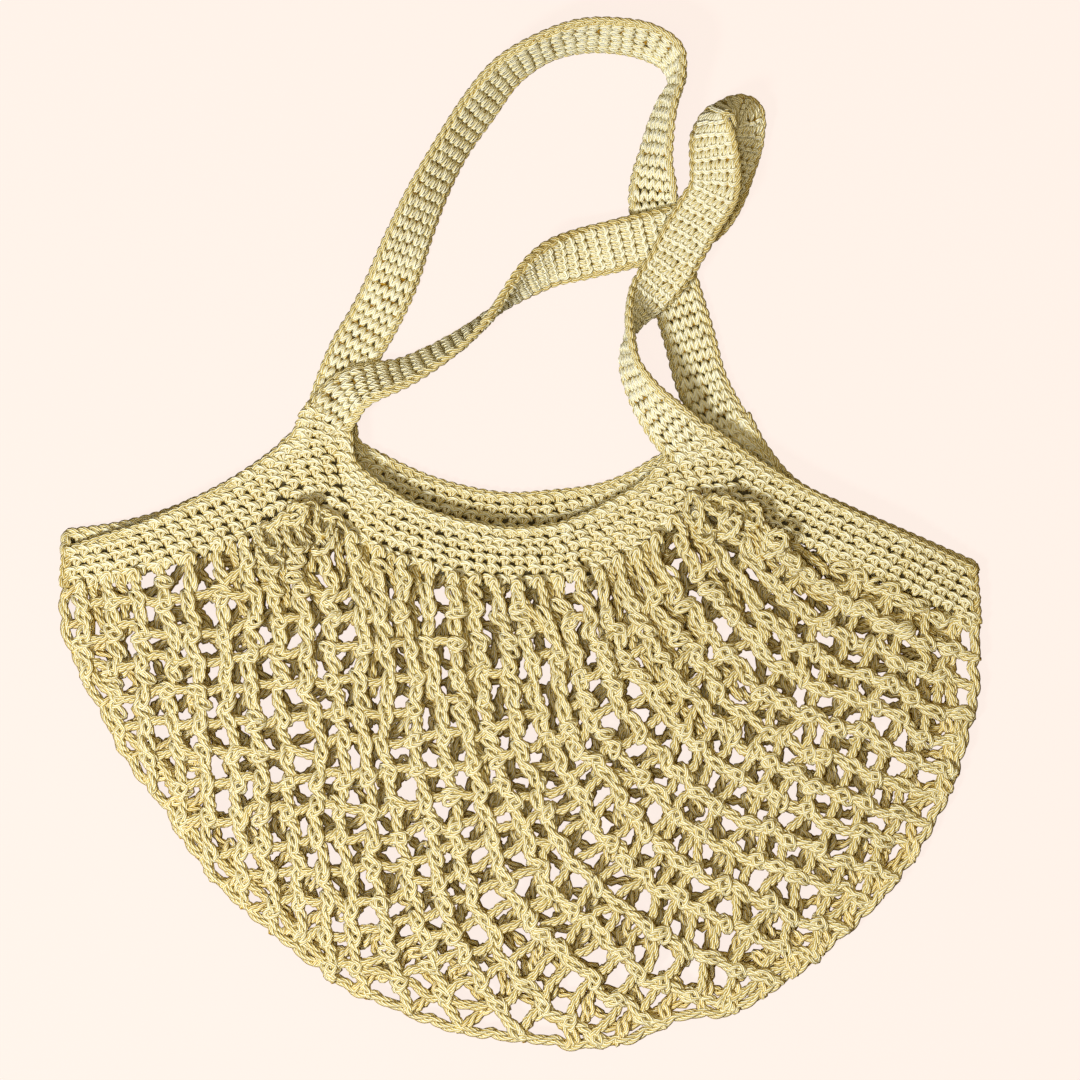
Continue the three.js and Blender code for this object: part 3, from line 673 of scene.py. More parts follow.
class NetLayer:
    """One layer of the net as three yarn meshes. A post is a row of short ropes of three strands from round
    to round, a round is a row of short ropes from post to post, and each crossing has loops of yarn."""

    def __init__(self, net, yarn, seam, is_front):
        self.net, self.yarn, self.is_front = net, yarn, is_front
        self.posts, self.rounds, self.loops = YarnMesh(), YarnMesh(), YarnMesh()
        self.lines = net_posts(net, seam, not is_front)
        self.rng = np.random.default_rng(11 if is_front else 12)
        # Base painted light share of the strands of each layer
        self.lift, self.sides, self.rings = (0.24, 5, 10) if is_front else (0.32, 4, 8)

    def tones(self, ropes):
        """A tone by chance for each strand."""
        return self.rng.uniform(0, 1, len(ropes))

    def seat(self, xy, run, total, bump):
        """A place in the plane, with its length from the seam and its post's whole length, as a point in
        space. The plane drifts and shakes a little. The front rises from the fold height and bears the
        gathers, the back sinks to the table."""
        net, clear = self.net, fold_distance(xy)
        drift = np.stack([wobble(xy, 0.055, 3), wobble(xy, 0.050, 4)], -1) * 0.0026
        shake = np.stack([wobble(xy, 0.019, 5), wobble(xy, 0.018, 6)], -1) * 0.0020
        free = ease(clear / 0.016) * (0.35 + 0.65 * ease(run / 0.025))
        xy = xy + (drift + shake) * free[..., None]
        if self.is_front:
            level = net.front_height - net.fold_height + gather_height(xy, np.clip(run / total, 0, 1))
            z = net.fold_height + level * ease(clear / net.fold_reach)
            z = z + 0.0005 * (1 - ease((run + 0.003) / 0.018))
        else:
            sink = net.back_height - net.fold_height
            z = net.fold_height + sink * ease(clear / (0.5 * net.fold_reach))
        return np.concatenate([xy, (z + bump)[..., None]], -1)

    def rope(self, post, head, reach, bump, lift, joins=None):
        """Ropes of one post from its head over the seam down to the fold, or for a reach, where it joins
        another. Each rope lies a little aslant, is thickest in its middle and tucks its end under the
        next."""
        rng = self.rng
        last = min(post.last, post.first + reach)
        bounds = np.concatenate([[post.first - head], post.stops[post.stops < last - 0.004], [last]])
        t = np.linspace(-0.10, 1.10, self.rings)
        arch = np.sin(math.pi * t)
        s = np.minimum(bounds[:-1, None] + np.diff(bounds)[:, None] * t, last)
        xy, ahead = post.spot(s), post.ahead(s)
        if joins is not None:
            joined = ease((s - last + 0.022) / 0.022)[..., None]
            xy = xy + (joins.spot(s) - xy) * joined
        slant = 0.0015 * (2 * t - 1) * ease((s - post.first) / 0.03) * ease((last - s) / 0.012)
        side = 1 - 2 * ease((xy[..., 0] + 0.05) / 0.12)
        waver = 0.0009 * arch * rng.normal(0, 1, (len(s), 1))
        xy = xy + square_to(ahead) * (slant * side + waver)[..., None]
        rise = bump + 0.0006 * (2 * t - 1) + 0.0004 * arch
        paths = self.seat(xy, s - post.first, post.total, rise)
        phase = 2 * math.pi * rng.uniform(1.0, 1.35, (len(s), 1)) * t + rng.uniform(0, 6, (len(s), 1))
        size = 0.62 + 0.42 * np.sin(math.pi * np.clip(t, 0, 1))
        size = size * (0.86 + 0.14 * ease((s - post.first) / 0.09))
        ropes = twist(paths, phase, POST_ROPE, 3, size)
        thick = self.yarn.radius * rng.uniform(0.96, 1.10, (len(ropes), 1))
        # Painted light share of the rope's strands, with painted highlight on the higher ones
        lifts = lift + painted_height_light(ropes, np.repeat(paths, 3, 0))
        self.posts.add(ropes, thick, UP, lifts, self.tones(ropes), self.sides)
        if self.is_front:
            self.hairpin(post, head, bump + 0.0004, lift)

    def hairpin(self, post, head, bump, lift):
        """Loop of yarn over a post's head: up one side of it, over its top and down the other side."""
        turn = np.linspace(-1, 1, 12)
        s = post.first - head - 0.0012 + 0.0050 * np.abs(turn) ** 1.8
        aside = 0.0024 * np.sin(1.5 * turn) * self.rng.uniform(0.7, 1.2)
        xy = post.spot(s) + square_to(post.ahead(s)) * aside[:, None]
        path = self.seat(xy, s - post.first, post.total, bump + 0.0013 * np.cos(1.5 * turn))[None]
        # Painted highlight on the loop over the post's head
        self.loops.add(path, self.yarn.radius, UP, lift + 0.1, self.tones(path), self.sides)

    def crossings(self, post, bump):
        """Loops of yarn on the post's crossings. The front has two on each, and more between them near the
        seam."""
        groups = [(post.stops, 0.5)]
        if self.is_front:
            extra = post.stops[post.stops - post.first < 0.085] - 0.5 * self.net.round_pitch
            groups += [(post.stops + 0.0020, -0.6), (extra[extra > post.first + 0.004], 0.5)]
        for spots, lean in groups:
            if len(spots):
                spots = spots + self.rng.uniform(-0.0010, 0.0010, len(spots))
                middles, aheads = (
                    self.seat(post.spot(s), s - post.first, post.total, bump) for s in (spots, spots + MM)
                )
                knots(self.loops, middles, aheads, self.yarn, self.lift, lean, self.rng)

    def bars(self, post, onward):
        """Rounds from each crossing of one post to the nearest of the next, and back from those left
        over. The front has fewer of them at its gathered top."""
        if not len(post.stops) or not len(onward.stops):
            return
        gaps = np.linalg.norm(post.spot(post.stops)[:, None] - onward.spot(onward.stops), axis=2)
        there = gaps.argmin(1)
        left = np.setdiff1d(np.arange(len(onward.stops)), there)
        here = np.concatenate([np.arange(len(there)), gaps[:, left].argmin(0)])
        there = np.concatenate([there, left])
        near = gaps[here, there] < BAR_REACH
        shared = post.stops[here]
        starts, ends = post.spot(shared), onward.spot(onward.stops[there])
        if self.is_front:
            top = ease((0.15 - np.abs(starts[:, 0])) / 0.04) * np.exp(-((shared - post.first) / 0.06) ** 2)
            near &= self.rng.uniform(0, 1, len(shared)) > 0.65 * top
        self.rungs(post, starts[near, None], ends[near, None], shared[near])

    def close_rungs(self, post, onward):
        """Rungs near the seam, and further down at the right, where the back lies gathered."""
        deep = 0.060 if post.spot(post.first)[0] > 0.10 else 0.027
        down = np.arange(0.003, min(deep, post.total), 0.0085) + self.rng.uniform(-0.002, 0.002)
        starts, ends = post.spot(post.first + down)[:, None], onward.spot(onward.first + down)[:, None]
        near = np.linalg.norm(ends - starts, axis=2)[:, 0] < RUNG_REACH
        self.rungs(post, starts[near], ends[near], post.first + down[near])

    def rungs(self, post, starts, ends, shared):
        """Short ropes from starts to ends, each arched up a little and sagging by chance."""
        rng, count = self.rng, len(shared)
        if not count:
            return
        t = np.linspace(0, 1, self.rings - 1)
        arch = np.sin(math.pi * t)
        sag = rng.normal(0.0004, 0.0010, (count, 1)) * arch
        sag = sag + rng.normal(0, 0.0014, (count, 1)) * (2 * t - 1)
        xy = starts + (ends - starts) * t[:, None] + post.ahead(shared)[:, None] * sag[..., None]
        run = (shared - post.first)[:, None] + 0 * t
        rise = -0.0005 + 0.0011 * arch + rng.normal(0, 0.0004, (count, 1))
        paths = self.seat(xy, run, post.total, rise)
        phase = 8.5 * t + rng.uniform(0, 6, (count, 1))
        size = 0.75 + 0.25 * arch
        ropes = twist(paths, phase, ROUND_ROPE, 3 if self.is_front else 2, size)
        # Rounds are painted a little darker than the posts, as painted shade
        self.rounds.add(ropes, self.yarn.radius * 0.98, UP, self.lift - 0.05, self.tones(ropes), self.sides)

    def heads(self, post, onward, stand):
        """Two arches of rope from the head of one post to the next one's, standing over the band's lowest
        rows."""
        start, end = post.spot(post.first), onward.spot(onward.first)
        if np.linalg.norm(end - start) > ARCH_REACH:
            return
        t = np.linspace(0, 1, 13)
        arch = np.sin(math.pi * t)
        out = -unit(post.ahead(post.first) + onward.ahead(onward.first))
        for layer in range(2):
            rise = (0.0010 + 0.0032 * stand * (1 + layer) + self.rng.uniform(0, 0.0022)) * arch ** 0.7
            way = t + 0.25 * layer * (0.5 - t)
            xy = start + (end - start) * way[:, None] + out * rise[:, None]
            paths = self.seat(xy, 0 * t - 0.003, post.total, 0.0008 + 0.0016 * layer * arch)
            phase = 2 * math.pi * t + self.rng.uniform(0, 6)
            ropes = twist(paths[None], phase, HEAD_ROPE, 2)
            # Painted highlight on the arches over the band
            self.rounds.add(ropes, self.yarn.radius * 0.98, UP, self.lift + 0.05, self.tones(ropes))

    def curls(self, post):
        """Two large loose loops of rope where the net stands over the band."""
        rng = self.rng
        turn = np.linspace(0, 2 * math.pi, 15)
        s = post.first + np.array([[0.000], [0.011]]) + rng.uniform(-0.003, 0.003, (2, 1))
        long = rng.uniform(0.0050, 0.0072, (2, 1))
        lean = rng.uniform(-1.4, 1.4, (2, 1))
        along, aside = long * np.cos(turn), 0.0038 * np.sin(turn)
        ahead = post.ahead(s)
        step = ahead * (along * np.cos(lean) - aside * np.sin(lean))[..., None]
        step = step + square_to(ahead) * (along * np.sin(lean) + aside * np.cos(lean))[..., None]
        rise = 0.0032 + 0.0030 * np.cos(turn + 2 * lean)
        paths = self.seat(post.spot(s) + step, s - post.first + 0 * turn, post.total, rise)
        ropes = twist(paths, 5 * turn + lean, ROUND_ROPE, 2)
        # Painted highlight on the loose loops
        self.loops.add(ropes, self.yarn.radius, UP, self.lift + 0.08, self.tones(ropes))

    def gather(self, line, top, neighbours):
        """Rope between two posts that joins one of them after a while; left out by chance, more so in the
        middle of the net."""
        rng = self.rng
        reach = (0.115 if top[0] > -0.09 else 0.070) * rng.uniform(0.4, 1.0)
        if line is not None and rng.uniform() < (0.62 if abs(top[0]) < 0.09 else 0.9):
            joins = neighbours[0] if rng.uniform() < 0.5 else neighbours[1]
            # Painted shade: the gather rope lies lower and is painted darker
            self.rope(line, 0.001, reach, -0.0026, self.lift - 0.18, joins)

    def work(self):
        """All posts from left to right, each with its crossings and its rounds to the next one, and on the
        front with gathers, arches and curls. Gives the three meshes by name."""
        whole = self.lines[::2]
        for k, (post, onward) in enumerate(zip(whole, [*whole[1:], None])):
            if post is None:
                continue
            top = post.spot(post.first)
            stand = float(puff(top))
            head = self.rng.uniform(0.0012, 0.0042) - 0.0025 * stand if self.is_front else 0.003
            sway = 0.0007 * (-1) ** k if self.is_front else 0.0
            self.rope(post, head, 1.0, sway, self.lift)
            self.crossings(post, sway + 0.0005)
            if onward is None:
                continue
            self.bars(post, onward)
            if not self.is_front:
                self.close_rungs(post, onward)
                continue
            self.gather(self.lines[2 * k + 1], top, (post, onward))
            if stand > 0.25:
                self.heads(post, onward, stand)
                self.curls(post)
        return {"posts": self.posts, "rounds": self.rounds, "loops": self.loops}


def painted_height_light(ropes, path):
    """Painted highlight: share by which a strand of a rope is painted lighter the higher it lies in it."""
    return 0.12 * (ropes - path)[..., 2] / POST_ROPE[1]


def knots(mesh, middles, aheads, yarn, lift, lean, rng):
    """A loop of yarn on each crossing: a long ellipse that lies over the rope, aslant, with both ends
    tucked in."""
    count = len(middles)
    ahead = unit(aheads - middles)
    side = unit(np.cross(UP, ahead))
    lean = rng.normal(lean, 0.35, (count, 1))
    axis = ahead * np.cos(lean) + side * np.sin(lean)
    square = np.cross(UP, axis)
    rings = 11
    turn = np.arange(rings)[:, None] * 2 * math.pi / rings
    long = rng.uniform(0.0038, 0.0054, (count, 1, 1))
    wide = rng.uniform(0.0017, 0.0025, (count, 1, 1))
    rise = 0.0023 - 0.0032 * np.cos(turn) ** 2
    loop = middles[:, None] + axis[:, None] * np.cos(turn) * long
    loop = loop + square[:, None] * np.sin(turn) * wide + UP * rise
    # Painted highlight on the loops over the crossings
    mesh.add(loop, yarn.radius * 0.95, UP, lift + 0.1, rng.uniform(0, 1, count), closed=True)


def fold_rope(mesh, net, yarn):
    """Rope along the fold: three strands about the fold line, which steps out a little between rounds."""
    line = flat_line(FOLD, 620)
    along = length_along(line, 2)
    ahead = unit(np.gradient(line, axis=0))
    outward = np.stack([ahead[:, 1], -ahead[:, 0]], -1)
    scallop = 0.0016 * np.abs(np.sin(math.pi * along / net.round_pitch)) - 0.0026
    scallop = scallop + 0.0008 * wobble(line, 0.03, 14)
    z = net.fold_height + 0.0012 * wobble(line, 0.025, 15)
    path = np.column_stack([line + outward * scallop[:, None], z])[None]
    phase = 2 * math.pi * along / 0.024 + 0.8 * wobble(line, 0.03, 16)
    # Base painted light share of the fold rope
    mesh.add(twist(path, phase, FOLD_ROPE, 3), yarn.radius, UP, 0.26, np.array([0.2, 0.6, 0.9]))


def edge_chain(mesh, path, up, yarn, width=0.0016, lift=0.80, seed=0):
    """Chain stitches along an edge: a close plait of three strands. up is one direction, or one for each
    point of the path."""
    rng = np.random.default_rng(seed)
    ring_gap, turn_length = 0.0014, 0.0150
    count = max(8, int(length_along(path)[-1] / ring_gap))
    ups = unit(evenly(up, count)) if np.ndim(up) > 1 else up
    line = evenly(path, count)
    phase = 2 * math.pi * length_along(line) / turn_length
    ropes = plait(line[None], ups, phase, width, 0.0007)
    # Painted highlight: chain edges are painted light, with only a little painted shade round each strand
    mesh.add(ropes, yarn.radius * 0.92, ups, lift, rng.uniform(0, 1, 3), crown=0.1)


# Band

def rim_line(rim, count):
    """Upper edge of one band face at even sections: armholes and mouth by length, straight over the roots."""
    rows = [flat_line(rim[part], 80) for part in BAND_SPANS]
    marks = [np.linspace(*span, 80) for span in BAND_SPANS.values()]
    return at(np.linspace(0, BAND_SECTIONS, count), np.vstack(rows), np.concatenate(marks))


class BandFace:
    """One face of the band between its seam and its rim, in sections from the left tip to the right tip."""

    def __init__(self, seam, rim, is_front):
        self.is_front = is_front
        count = 12 * BAND_SECTIONS + 1
        self.marks = np.linspace(0, BAND_SECTIONS, count)
        self.low, high = flat_line(seam, count), rim_line(rim, count)
        self.rising = high - self.low
        bell = np.exp(-np.linspace(-2, 2, 49) ** 2)
        headings = unit(np.gradient(0.5 * (self.low + high), axis=0))
        padded = np.pad(headings, ((24, 24), (0, 0)), mode="edge")
        self.course = unit(np.stack([np.convolve(padded[:, k], bell, "valid") for k in (0, 1)], -1))
        self.height = np.abs(
            self.course[:, 0] * self.rising[:, 1] - self.course[:, 1] * self.rising[:, 0]
        )

    def tall(self, section):
        """Height of the band at a section, square to its smoothed course."""
        return np.interp(section, self.marks, self.height)

    def ahead(self, section):
        """Direction of the band's smoothed course at a section."""
        return at(section, np.column_stack([self.course, 0 * self.marks]), self.marks)

    def place(self, section, share):
        """Point at a section and a share of the way from seam to rim. The front sinks to the tips, and a
        little to the seam."""
        share = np.asarray(share)
        xy = at(section, self.low, self.marks) + at(section, self.rising, self.marks) * share[..., None]
        if self.is_front:
            tip = (FOLD[-1, 0] - np.abs(xy[..., 0])) / 0.050
            z = 0.0056 + 0.0054 * ease(tip) - 0.0004 * (1 - ease(share * self.tall(section) / 0.010))
        else:
            z = np.full(xy.shape[:-1], 0.0017)
        return np.concatenate([xy, z[..., None]], -1)

    def row(self, height, pitch, shift):
        """Sections and shares of a row's stitches at a height over the seam, a pitch apart, closer on slopes
        and none too near the tips."""
        climb, tip_gap = 1.35, 0.28 * pitch
        share = height / self.height
        line = self.low + self.rising * np.minimum(share, 1)[:, None]
        steps = np.linalg.norm(np.diff(line, axis=0) * [1, climb], axis=1) * (share[1:] < 1) + 1e-9
        run = np.concatenate([[0], np.cumsum(steps)])
        places = np.arange(shift * pitch, run[-1], pitch)
        places = places[(places > tip_gap) & (places < run[-1] - tip_gap)]
        section = np.interp(places, run, self.marks)
        return section, height / self.tall(section)


def stitch_cells(mesh, stitch, place, normal, cells, radius, lift, rng):
    """Strands of one stitch in each cell (across, across step, up, up step): each strand's smooth line,
    with a small shake, is laid into the cell and stands out along the normal. The first has one side more."""
    shake = rng.normal(0, 1, (len(cells), 4))
    tone = rng.uniform(0, 1, len(cells))
    for number, (count, strand) in enumerate(stitch):
        line = evenly(smooth_line(strand * [1, 1, 0.25]), count) / [1, 1, 0.25]
        across = cells[:, :1] + cells[:, 1:2] * (line[:, 0] + 0.05 * shake[:, :1])
        over = cells[:, 2:3] + cells[:, 3:4] * (line[:, 1] + 0.05 * shake[:, 1:2])
        out = (line[:, 2] + 0.12 * shake[:, 2:3]) * MM
        normals = normal(across, over)
        paths = place(across, over) + normals * out[..., None]
        thick = radius * (1 + 0.05 * shake[:, 3:])
        # Painted light by how far the strand stands out of the cloth: painted shade where it dips in, painted
        # highlight where it stands out
        mesh.add(paths, thick, normals, lift + 0.30 * out / MM, tone, 4 if number else 5)


def band_rows(mesh, band, yarn, face, seed):
    """Rows of close stitches parallel to the seam, each row set on from the last, up to the rim. A stitch
    keeps its own square shape about the middle of its cell, and turns only partly with the band."""
    rng = np.random.default_rng(seed)
    cells = []
    tallest = face.tall(np.linspace(0, BAND_SECTIONS, 500)).max()
    for number in range(int(tallest / band.row_height)):
        shift = (0.5 * number + rng.uniform(0, 0.12)) % 1
        section, share = face.row((number + 0.5) * band.row_height, band.stitch_width, shift)
        keep = share < 1 - 0.25 * band.row_height / face.tall(section)
        cells.append(np.stack([section[keep], share[keep]], -1))
    cells = np.concatenate(cells)
    centre = face.place(cells[:, 0], cells[:, 1]) + UP * 0.5 * band.thickness
    ahead = unit(0.4 * face.ahead(cells[:, 0]) + [0.6, 0, 0])
    lean = rng.normal(0, 0.16, (len(cells), 1))
    ahead = ahead * np.cos(lean) + np.cross(UP, ahead) * np.sin(lean)
    upward = np.cross(UP, ahead)
    number = np.arange(len(cells), dtype=float)
    squares = np.stack([number, np.ones_like(number), number * 0, number * 0 + 1], -1)

    def lay(across, over):
        """Shares of a stitch's square as a place about the middle of its cell."""
        aside = (across - number[:, None] - 0.5) * band.stitch_width
        above = (over - 0.5) * band.row_height
        return centre[:, None] + ahead[:, None] * aside[..., None] + upward[:, None] * above[..., None]

    def normal(across, over):
        """Straight up all over the band."""
        return np.broadcast_to(UP, (*across.shape, 3))

    # Painted shade: the back face of the band is painted darker than the front
    lift = 0.22 if face.is_front else 0.16
    stitch_cells(mesh, CLOSE_STITCH, lay, normal, squares, 0.98 * yarn.radius, lift, rng)


def band_core(band, faces, material):
    """Close cloth of the band as one ring: outer and inner skins run along the front to the right tip and
    back along the back, and the rims close them."""
    half, strips = 0.5 * band.thickness, 6
    sections = np.linspace(0, BAND_SECTIONS, 6 * BAND_SECTIONS + 1)
    over = np.broadcast_to(np.linspace(0, 1, strips + 1), (len(sections), strips + 1))
    across = np.broadcast_to(sections[:, None], over.shape)
    skins = []
    for outward, inset in ((1, 0.0), (-1, band.thickness)):
        pull = np.zeros((len(sections), 1, 3))
        pull[0, 0, 0], pull[-1, 0, 0] = inset, -inset
        front, back = (
            face.place(across, over) + UP * half * outward * sign + pull for face, sign in zip(faces, (1, -1))
        )
        skins.append(np.concatenate([front, back[::-1]]))
    rings, levels = skins[0].shape[:2]
    step = rings * levels
    outer = grid_faces(rings, levels, True, False)
    low = np.arange(rings) * levels
    low_on = np.roll(low, -1)
    high, high_on = low + strips, low_on + strips
    top_rim = np.stack([high, high_on, high_on + step, high + step], -1)
    low_rim = np.stack([low_on, low, low + step, low_on + step], -1)
    points = np.concatenate([skin.reshape(-1, 3) for skin in skins])
    return mesh_object("band_cloth", points, [outer, outer[:, ::-1] + step, top_rim, low_rim], material)


def band_chains(mesh, yarn, faces):
    """Chain edges of the band: round each armhole from one face to the other, along both sides of the
    mouth, and down both tips."""
    rims = {}
    for part, span in BAND_SPANS.items():
        section = np.linspace(*span, 160)
        rims[part] = [face.place(section, 1 - 0.0006 / face.tall(section)) for face in faces]
    left, right = rims["left"], rims["right"]
    paths = [np.vstack([left[1][::-1], left[0]]), np.vstack([right[0], right[1][::-1]]), *rims["mouth"]]
    for k, path in enumerate(paths):
        edge_chain(mesh, smooth_line(evenly(path, 90), 4) + UP * 0.0006, UP, yarn, seed=30 + k)
    share = np.linspace(0.0, 1.0, 24)
    for k, section in enumerate((0.1, BAND_SECTIONS - 0.1)):
        front, back = (face.place(np.full(24, section), share) for face in faces)
        # The tip chains are painted less light than the rim chains
        edge_chain(mesh, 0.8 * front + 0.2 * back + UP * 0.0010, UP, yarn, 0.0018, 0.6, 36 + k)


# Straps

def strap_route(route, rim, z, end_roll):
    """Line of a strap's middle with its side and top directions and the length up to each point: the route
    between both roots and a little on into them, its side turned about it by the roll."""
    roots = ((rim["left"][-1], rim["mouth"][0]), (rim["right"][0], rim["mouth"][-1]))
    ends = [np.array([*(outer + inner) / 2 / MM, z]) for outer, inner in roots]
    near = [
        end + (end - step[:3]) * [0.8, 0.8, 0] - [0, 0, 0.9]
        for end, step in zip(ends, (route[0], route[-1]))
    ]
    rows = np.vstack([[*near[0], 0], [*ends[0], 0], route, [*ends[1], end_roll], [*near[1], end_roll]])
    line = evenly(smooth_line(rows * [MM, MM, MM, 1], 16), 700)
    middle, roll = line[:, :3], np.radians(line[:, 3:])
    ahead = unit(np.gradient(middle, axis=0))
    flat = unit(np.cross(UP, ahead))
    rise = np.cross(ahead, flat)
    side = flat * np.cos(roll) + rise * np.sin(roll)
    top = rise * np.cos(roll) - flat * np.sin(roll)
    return middle, side, top, length_along(middle)


def strap_core(name, band, routed, material):
    """Close cloth of a strap: a flat section with eased edges carried along its route."""
    middle, side, top = (line[::4] for line in routed[:3])
    w, t = 0.5 * band.strap_width - 0.0008, 0.5 * band.thickness
    section = np.array([
        [w, -0.4 * t], [w, 0.4 * t], [w - t, t], [t - w, t],
        [-w, 0.4 * t], [-w, -0.4 * t], [t - w, -t], [w - t, -t],
    ])
    grid = middle[:, None] + side[:, None] * section[:, :1] + top[:, None] * section[:, 1:]
    rings, corners = grid.shape[:2]
    quads = grid_faces(rings, corners, False, True)[:, [0, 3, 2, 1]]
    caps = np.stack([np.arange(corners)[::-1], (rings - 1) * corners + np.arange(corners)])
    return mesh_object(name, grid.reshape(-1, 3), [quads, caps], material)


def strap_stitches(band, yarn, routed, seed):
    """Both faces of a strap in close stitches: rows across the strap between its two chain edges."""
    middle, side, top, along = routed
    mesh = YarnMesh()
    rng = np.random.default_rng(seed)
    rows, count = int(along[-1] / band.strap_row), 5
    width, row_step = band.strap_width - 0.0030, along[-1] / rows
    start, row = np.meshgrid(np.arange(count) * width / count - 0.5 * width, np.arange(rows), indexing="ij")
    cells = np.stack([
        start.ravel(), np.full(start.size, width / count),
        (row * row_step).ravel(), np.full(start.size, row_step),
    ], -1)
    for stitch, sign, size in ((V_STITCH, 1, 1.0), (RIDGE_STITCH, -1, 1.05)):
        def normal(across, over, sign=sign):
            """Out of this face of the strap."""
            return at(over, top, along) * sign

        def place(across, over, sign=sign):
            """Place across the strap and along it, on this face of its cloth."""
            flat = at(over, middle, along) + at(over, side, along) * across[..., None]
            return flat + at(over, top, along) * (0.5 * sign * band.thickness)

        # Base painted light share of the strap's stitches
        stitch_cells(mesh, stitch, place, normal, cells, size * yarn.radius, 0.38, rng)
    reach = 0.5 * band.strap_width - 0.0014
    for sign in (1, -1):
        edge_chain(mesh, middle + side * reach * sign, top, yarn, seed=seed + sign)
    return mesh


# Operators

def settings():
    """The bag's settings in this scene."""
    return bpy.context.scene.market_bag


def dress(piece, node):
    """A piece rides on the bag's one body and stands for its CAD node, which it hides."""
    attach(piece, "root")
    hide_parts(node)


class BAG_OT_stage(bpy.types.Operator):
    """Camera straight above, plain pale floor, light from the lower left and above, warm fill from behind"""
    bl_idname = "bag.stage"
    bl_label = "Stage"

    def execute(self, context):
        stage = settings().stage
        scene = context.scene
        camera = bpy.data.objects.new("camera", bpy.data.cameras.new("camera"))
        camera.location = (stage.view_x, stage.view_y, stage.camera_height)
        over_bag = stage.camera_height - 0.008
        camera.data.lens = camera.data.sensor_width * over_bag / stage.view_width
        camera.data.clip_end = 20
        scene.collection.objects.link(camera)
        scene.camera = camera
        scene.view_settings.view_transform = "Standard"
        for name, place, power, size, tint in (
            ("key_light", (-0.95, -0.85, 1.40), stage.key, 0.3, (1.0, 1.0, 1.0)),
            ("top_light", (-0.15, -0.10, 1.60), stage.top, 0.6, (1.0, 0.92, 0.75)),
            ("fill_light", (1.1, 0.9, 1.2), 0.16 * stage.key, 1.2, (1.0, 0.78, 0.36)),
        ):
            light = bpy.data.lights.new(name, "AREA")
            light.energy, light.size, light.color = power, size, tint
            lamp = bpy.data.objects.new(name, light)
            lamp.location = place
            lamp.rotation_euler = (-lamp.location).to_track_quat("-Z", "Y").to_euler()
            scene.collection.objects.link(lamp)
        world = bpy.data.worlds.new("studio")
        world.use_nodes = True
        background = world.node_tree.nodes["Background"]
        background.inputs["Color"].default_value = (*stage.tint, 1)
        background.inputs["Strength"].default_value = stage.fill
        scene.world = world
        shade = Shade("floor_paper")
        place = shade.node("ShaderNodeTexCoord", {}, output="Object")
        grain = shade.node("ShaderNodeTexNoise", {}, Vector=place, Scale=260.0, Detail=3.0)
        pale = tuple(stage.floor)
        shade.feed(Base_Color=shade.mix(grain, pale, tuple(0.985 * c for c in pale)), Roughness=0.9)
        shade.feed(Emission_Color=(*stage.glow_tint, 1), Emission_Strength=stage.glow)
        half = 3.0
        corners = np.array([[-half, -half, 0], [half, -half, 0], [half, half, 0], [-half, half, 0]])
        floor = mesh_object("floor", corners, [np.array([[0, 1, 2, 3]])], shade.material)
        # The floor's glow is seen, but doesn't light the bag
        floor.visible_diffuse = False
        floor.visible_glossy = False
        return {"FINISHED"}


class BAG_OT_net(bpy.types.Operator):
    """Front and back of the net in twisted ropes with loops, and the rope along the fold"""
    bl_idname = "bag.net"
    bl_label = "Net pouch"

    def execute(self, context):
        bag = settings()
        net, yarn = bag.net, bag.yarn
        # The back's yarn takes the painted shade colour
        for side, seam, main in (("front", FRONT_SEAM, yarn.main), ("back", BACK_SEAM, yarn.shaded)):
            material = cotton(f"net_{side}_cotton", yarn, main)
            meshes = NetLayer(net, yarn, seam, side == "front").work()
            if side == "front":
                fold_rope(meshes["loops"], net, yarn)
            built = [mesh.build(f"net_{side}_{part}", material) for part, mesh in meshes.items()]
            for piece in built:
                dress(piece, "net_body")
        return {"FINISHED"}


class BAG_OT_band(bpy.types.Operator):
    """Rim band in rows of close stitches over its own cloth, with chain edges"""
    bl_idname = "bag.band"
    bl_label = "Rim band"

    def execute(self, context):
        bag = settings()
        band, yarn = bag.band, bag.yarn
        faces = BandFace(FRONT_SEAM, FRONT_RIM, True), BandFace(BACK_SEAM, BACK_RIM, False)
        material = cotton("band_cotton", yarn, yarn.main)
        # The band's cloth carries the painted pin hole shade
        cloth = band_core(band, faces, pinhole_shade_sheet("band_pinhole_shade_sheet", yarn))
        mesh, edges = YarnMesh(), YarnMesh()
        for face, seed in zip(faces, (21, 22)):
            band_rows(mesh, band, yarn, face, seed)
        band_chains(edges, yarn, faces)
        stitches, chains = mesh.build("band_stitches", material), edges.build("band_edges", material)
        for piece in (cloth, stitches, chains):
            dress(piece, "rim_band")
        return {"FINISHED"}


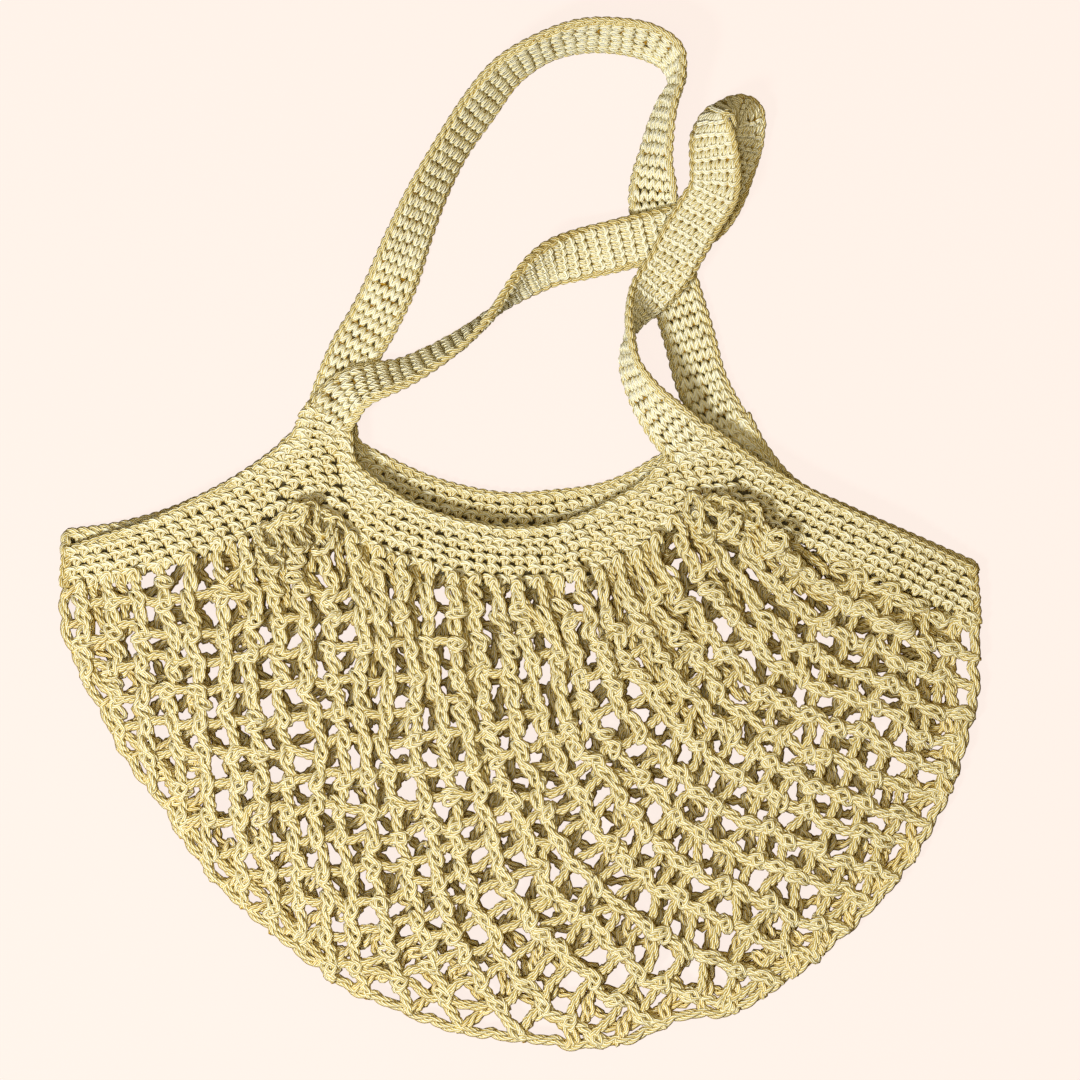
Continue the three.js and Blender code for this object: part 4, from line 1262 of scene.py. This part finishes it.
class BAG_OT_straps(bpy.types.Operator):
    """Both straps in close stitches over their own cloth, with chain edges"""
    bl_idname = "bag.straps"
    bl_label = "Straps"

    def execute(self, context):
        bag = settings()
        band, yarn = bag.band, bag.yarn
        for name, route, rim, z, end_roll, seed in (
            ("back", BACK_STRAP, BACK_RIM, 2, 0, 41),
            ("front", FRONT_STRAP, FRONT_RIM, 11, -360, 51),
        ):
            routed = strap_route(route, rim, z, end_roll)
            # The strap's cloth carries the painted pin hole shade
            cloth = strap_core(f"strap_{name}_cloth", band, routed, pinhole_shade_sheet(f"strap_{name}_backing", yarn))
            mesh = strap_stitches(band, yarn, routed, seed)
            stitches = mesh.build(f"strap_{name}_stitches", cotton(f"strap_{name}_cotton", yarn, yarn.main))
            for piece in (cloth, stitches):
                dress(piece, f"handle_{name}")
        return {"FINISHED"}


class BagSettings(bpy.types.PropertyGroup):
    """All settings of the bag and its stage."""
    yarn: bpy.props.PointerProperty(type=YarnSettings)
    net: bpy.props.PointerProperty(type=NetSettings)
    band: bpy.props.PointerProperty(type=BandSettings)
    stage: bpy.props.PointerProperty(type=StageSettings)


class BAG_PT_panel(bpy.types.Panel):
    """Steps and settings of the bag"""
    bl_label = "Mesh market bag"
    bl_idname = "BAG_PT_panel"
    bl_space_type = "VIEW_3D"
    bl_region_type = "UI"
    bl_category = "Bag"

    def draw(self, context):
        for operator in OPERATORS:
            self.layout.operator(operator.bl_idname)
        for group in ("yarn", "net", "band", "stage"):
            box = self.layout.box()
            box.label(text=group.capitalize())
            values = getattr(context.scene.market_bag, group)
            for name in values.__annotations__:
                box.prop(values, name)


OPERATORS = (BAG_OT_stage, BAG_OT_net, BAG_OT_band, BAG_OT_straps)
CLASSES = (YarnSettings, NetSettings, BandSettings, StageSettings, BagSettings, *OPERATORS, BAG_PT_panel)


def register():
    for made in CLASSES:
        bpy.utils.register_class(made)
    bpy.types.Scene.market_bag = bpy.props.PointerProperty(type=BagSettings)


def unregister():
    del bpy.types.Scene.market_bag
    for made in reversed(CLASSES):
        bpy.utils.unregister_class(made)


def main():
    """Make the stage and every piece."""
    register()
    bpy.ops.bag.stage()
    bpy.ops.bag.net()
    bpy.ops.bag.band()
    bpy.ops.bag.straps()
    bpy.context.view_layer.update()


if __name__ == "__main__":
    main()
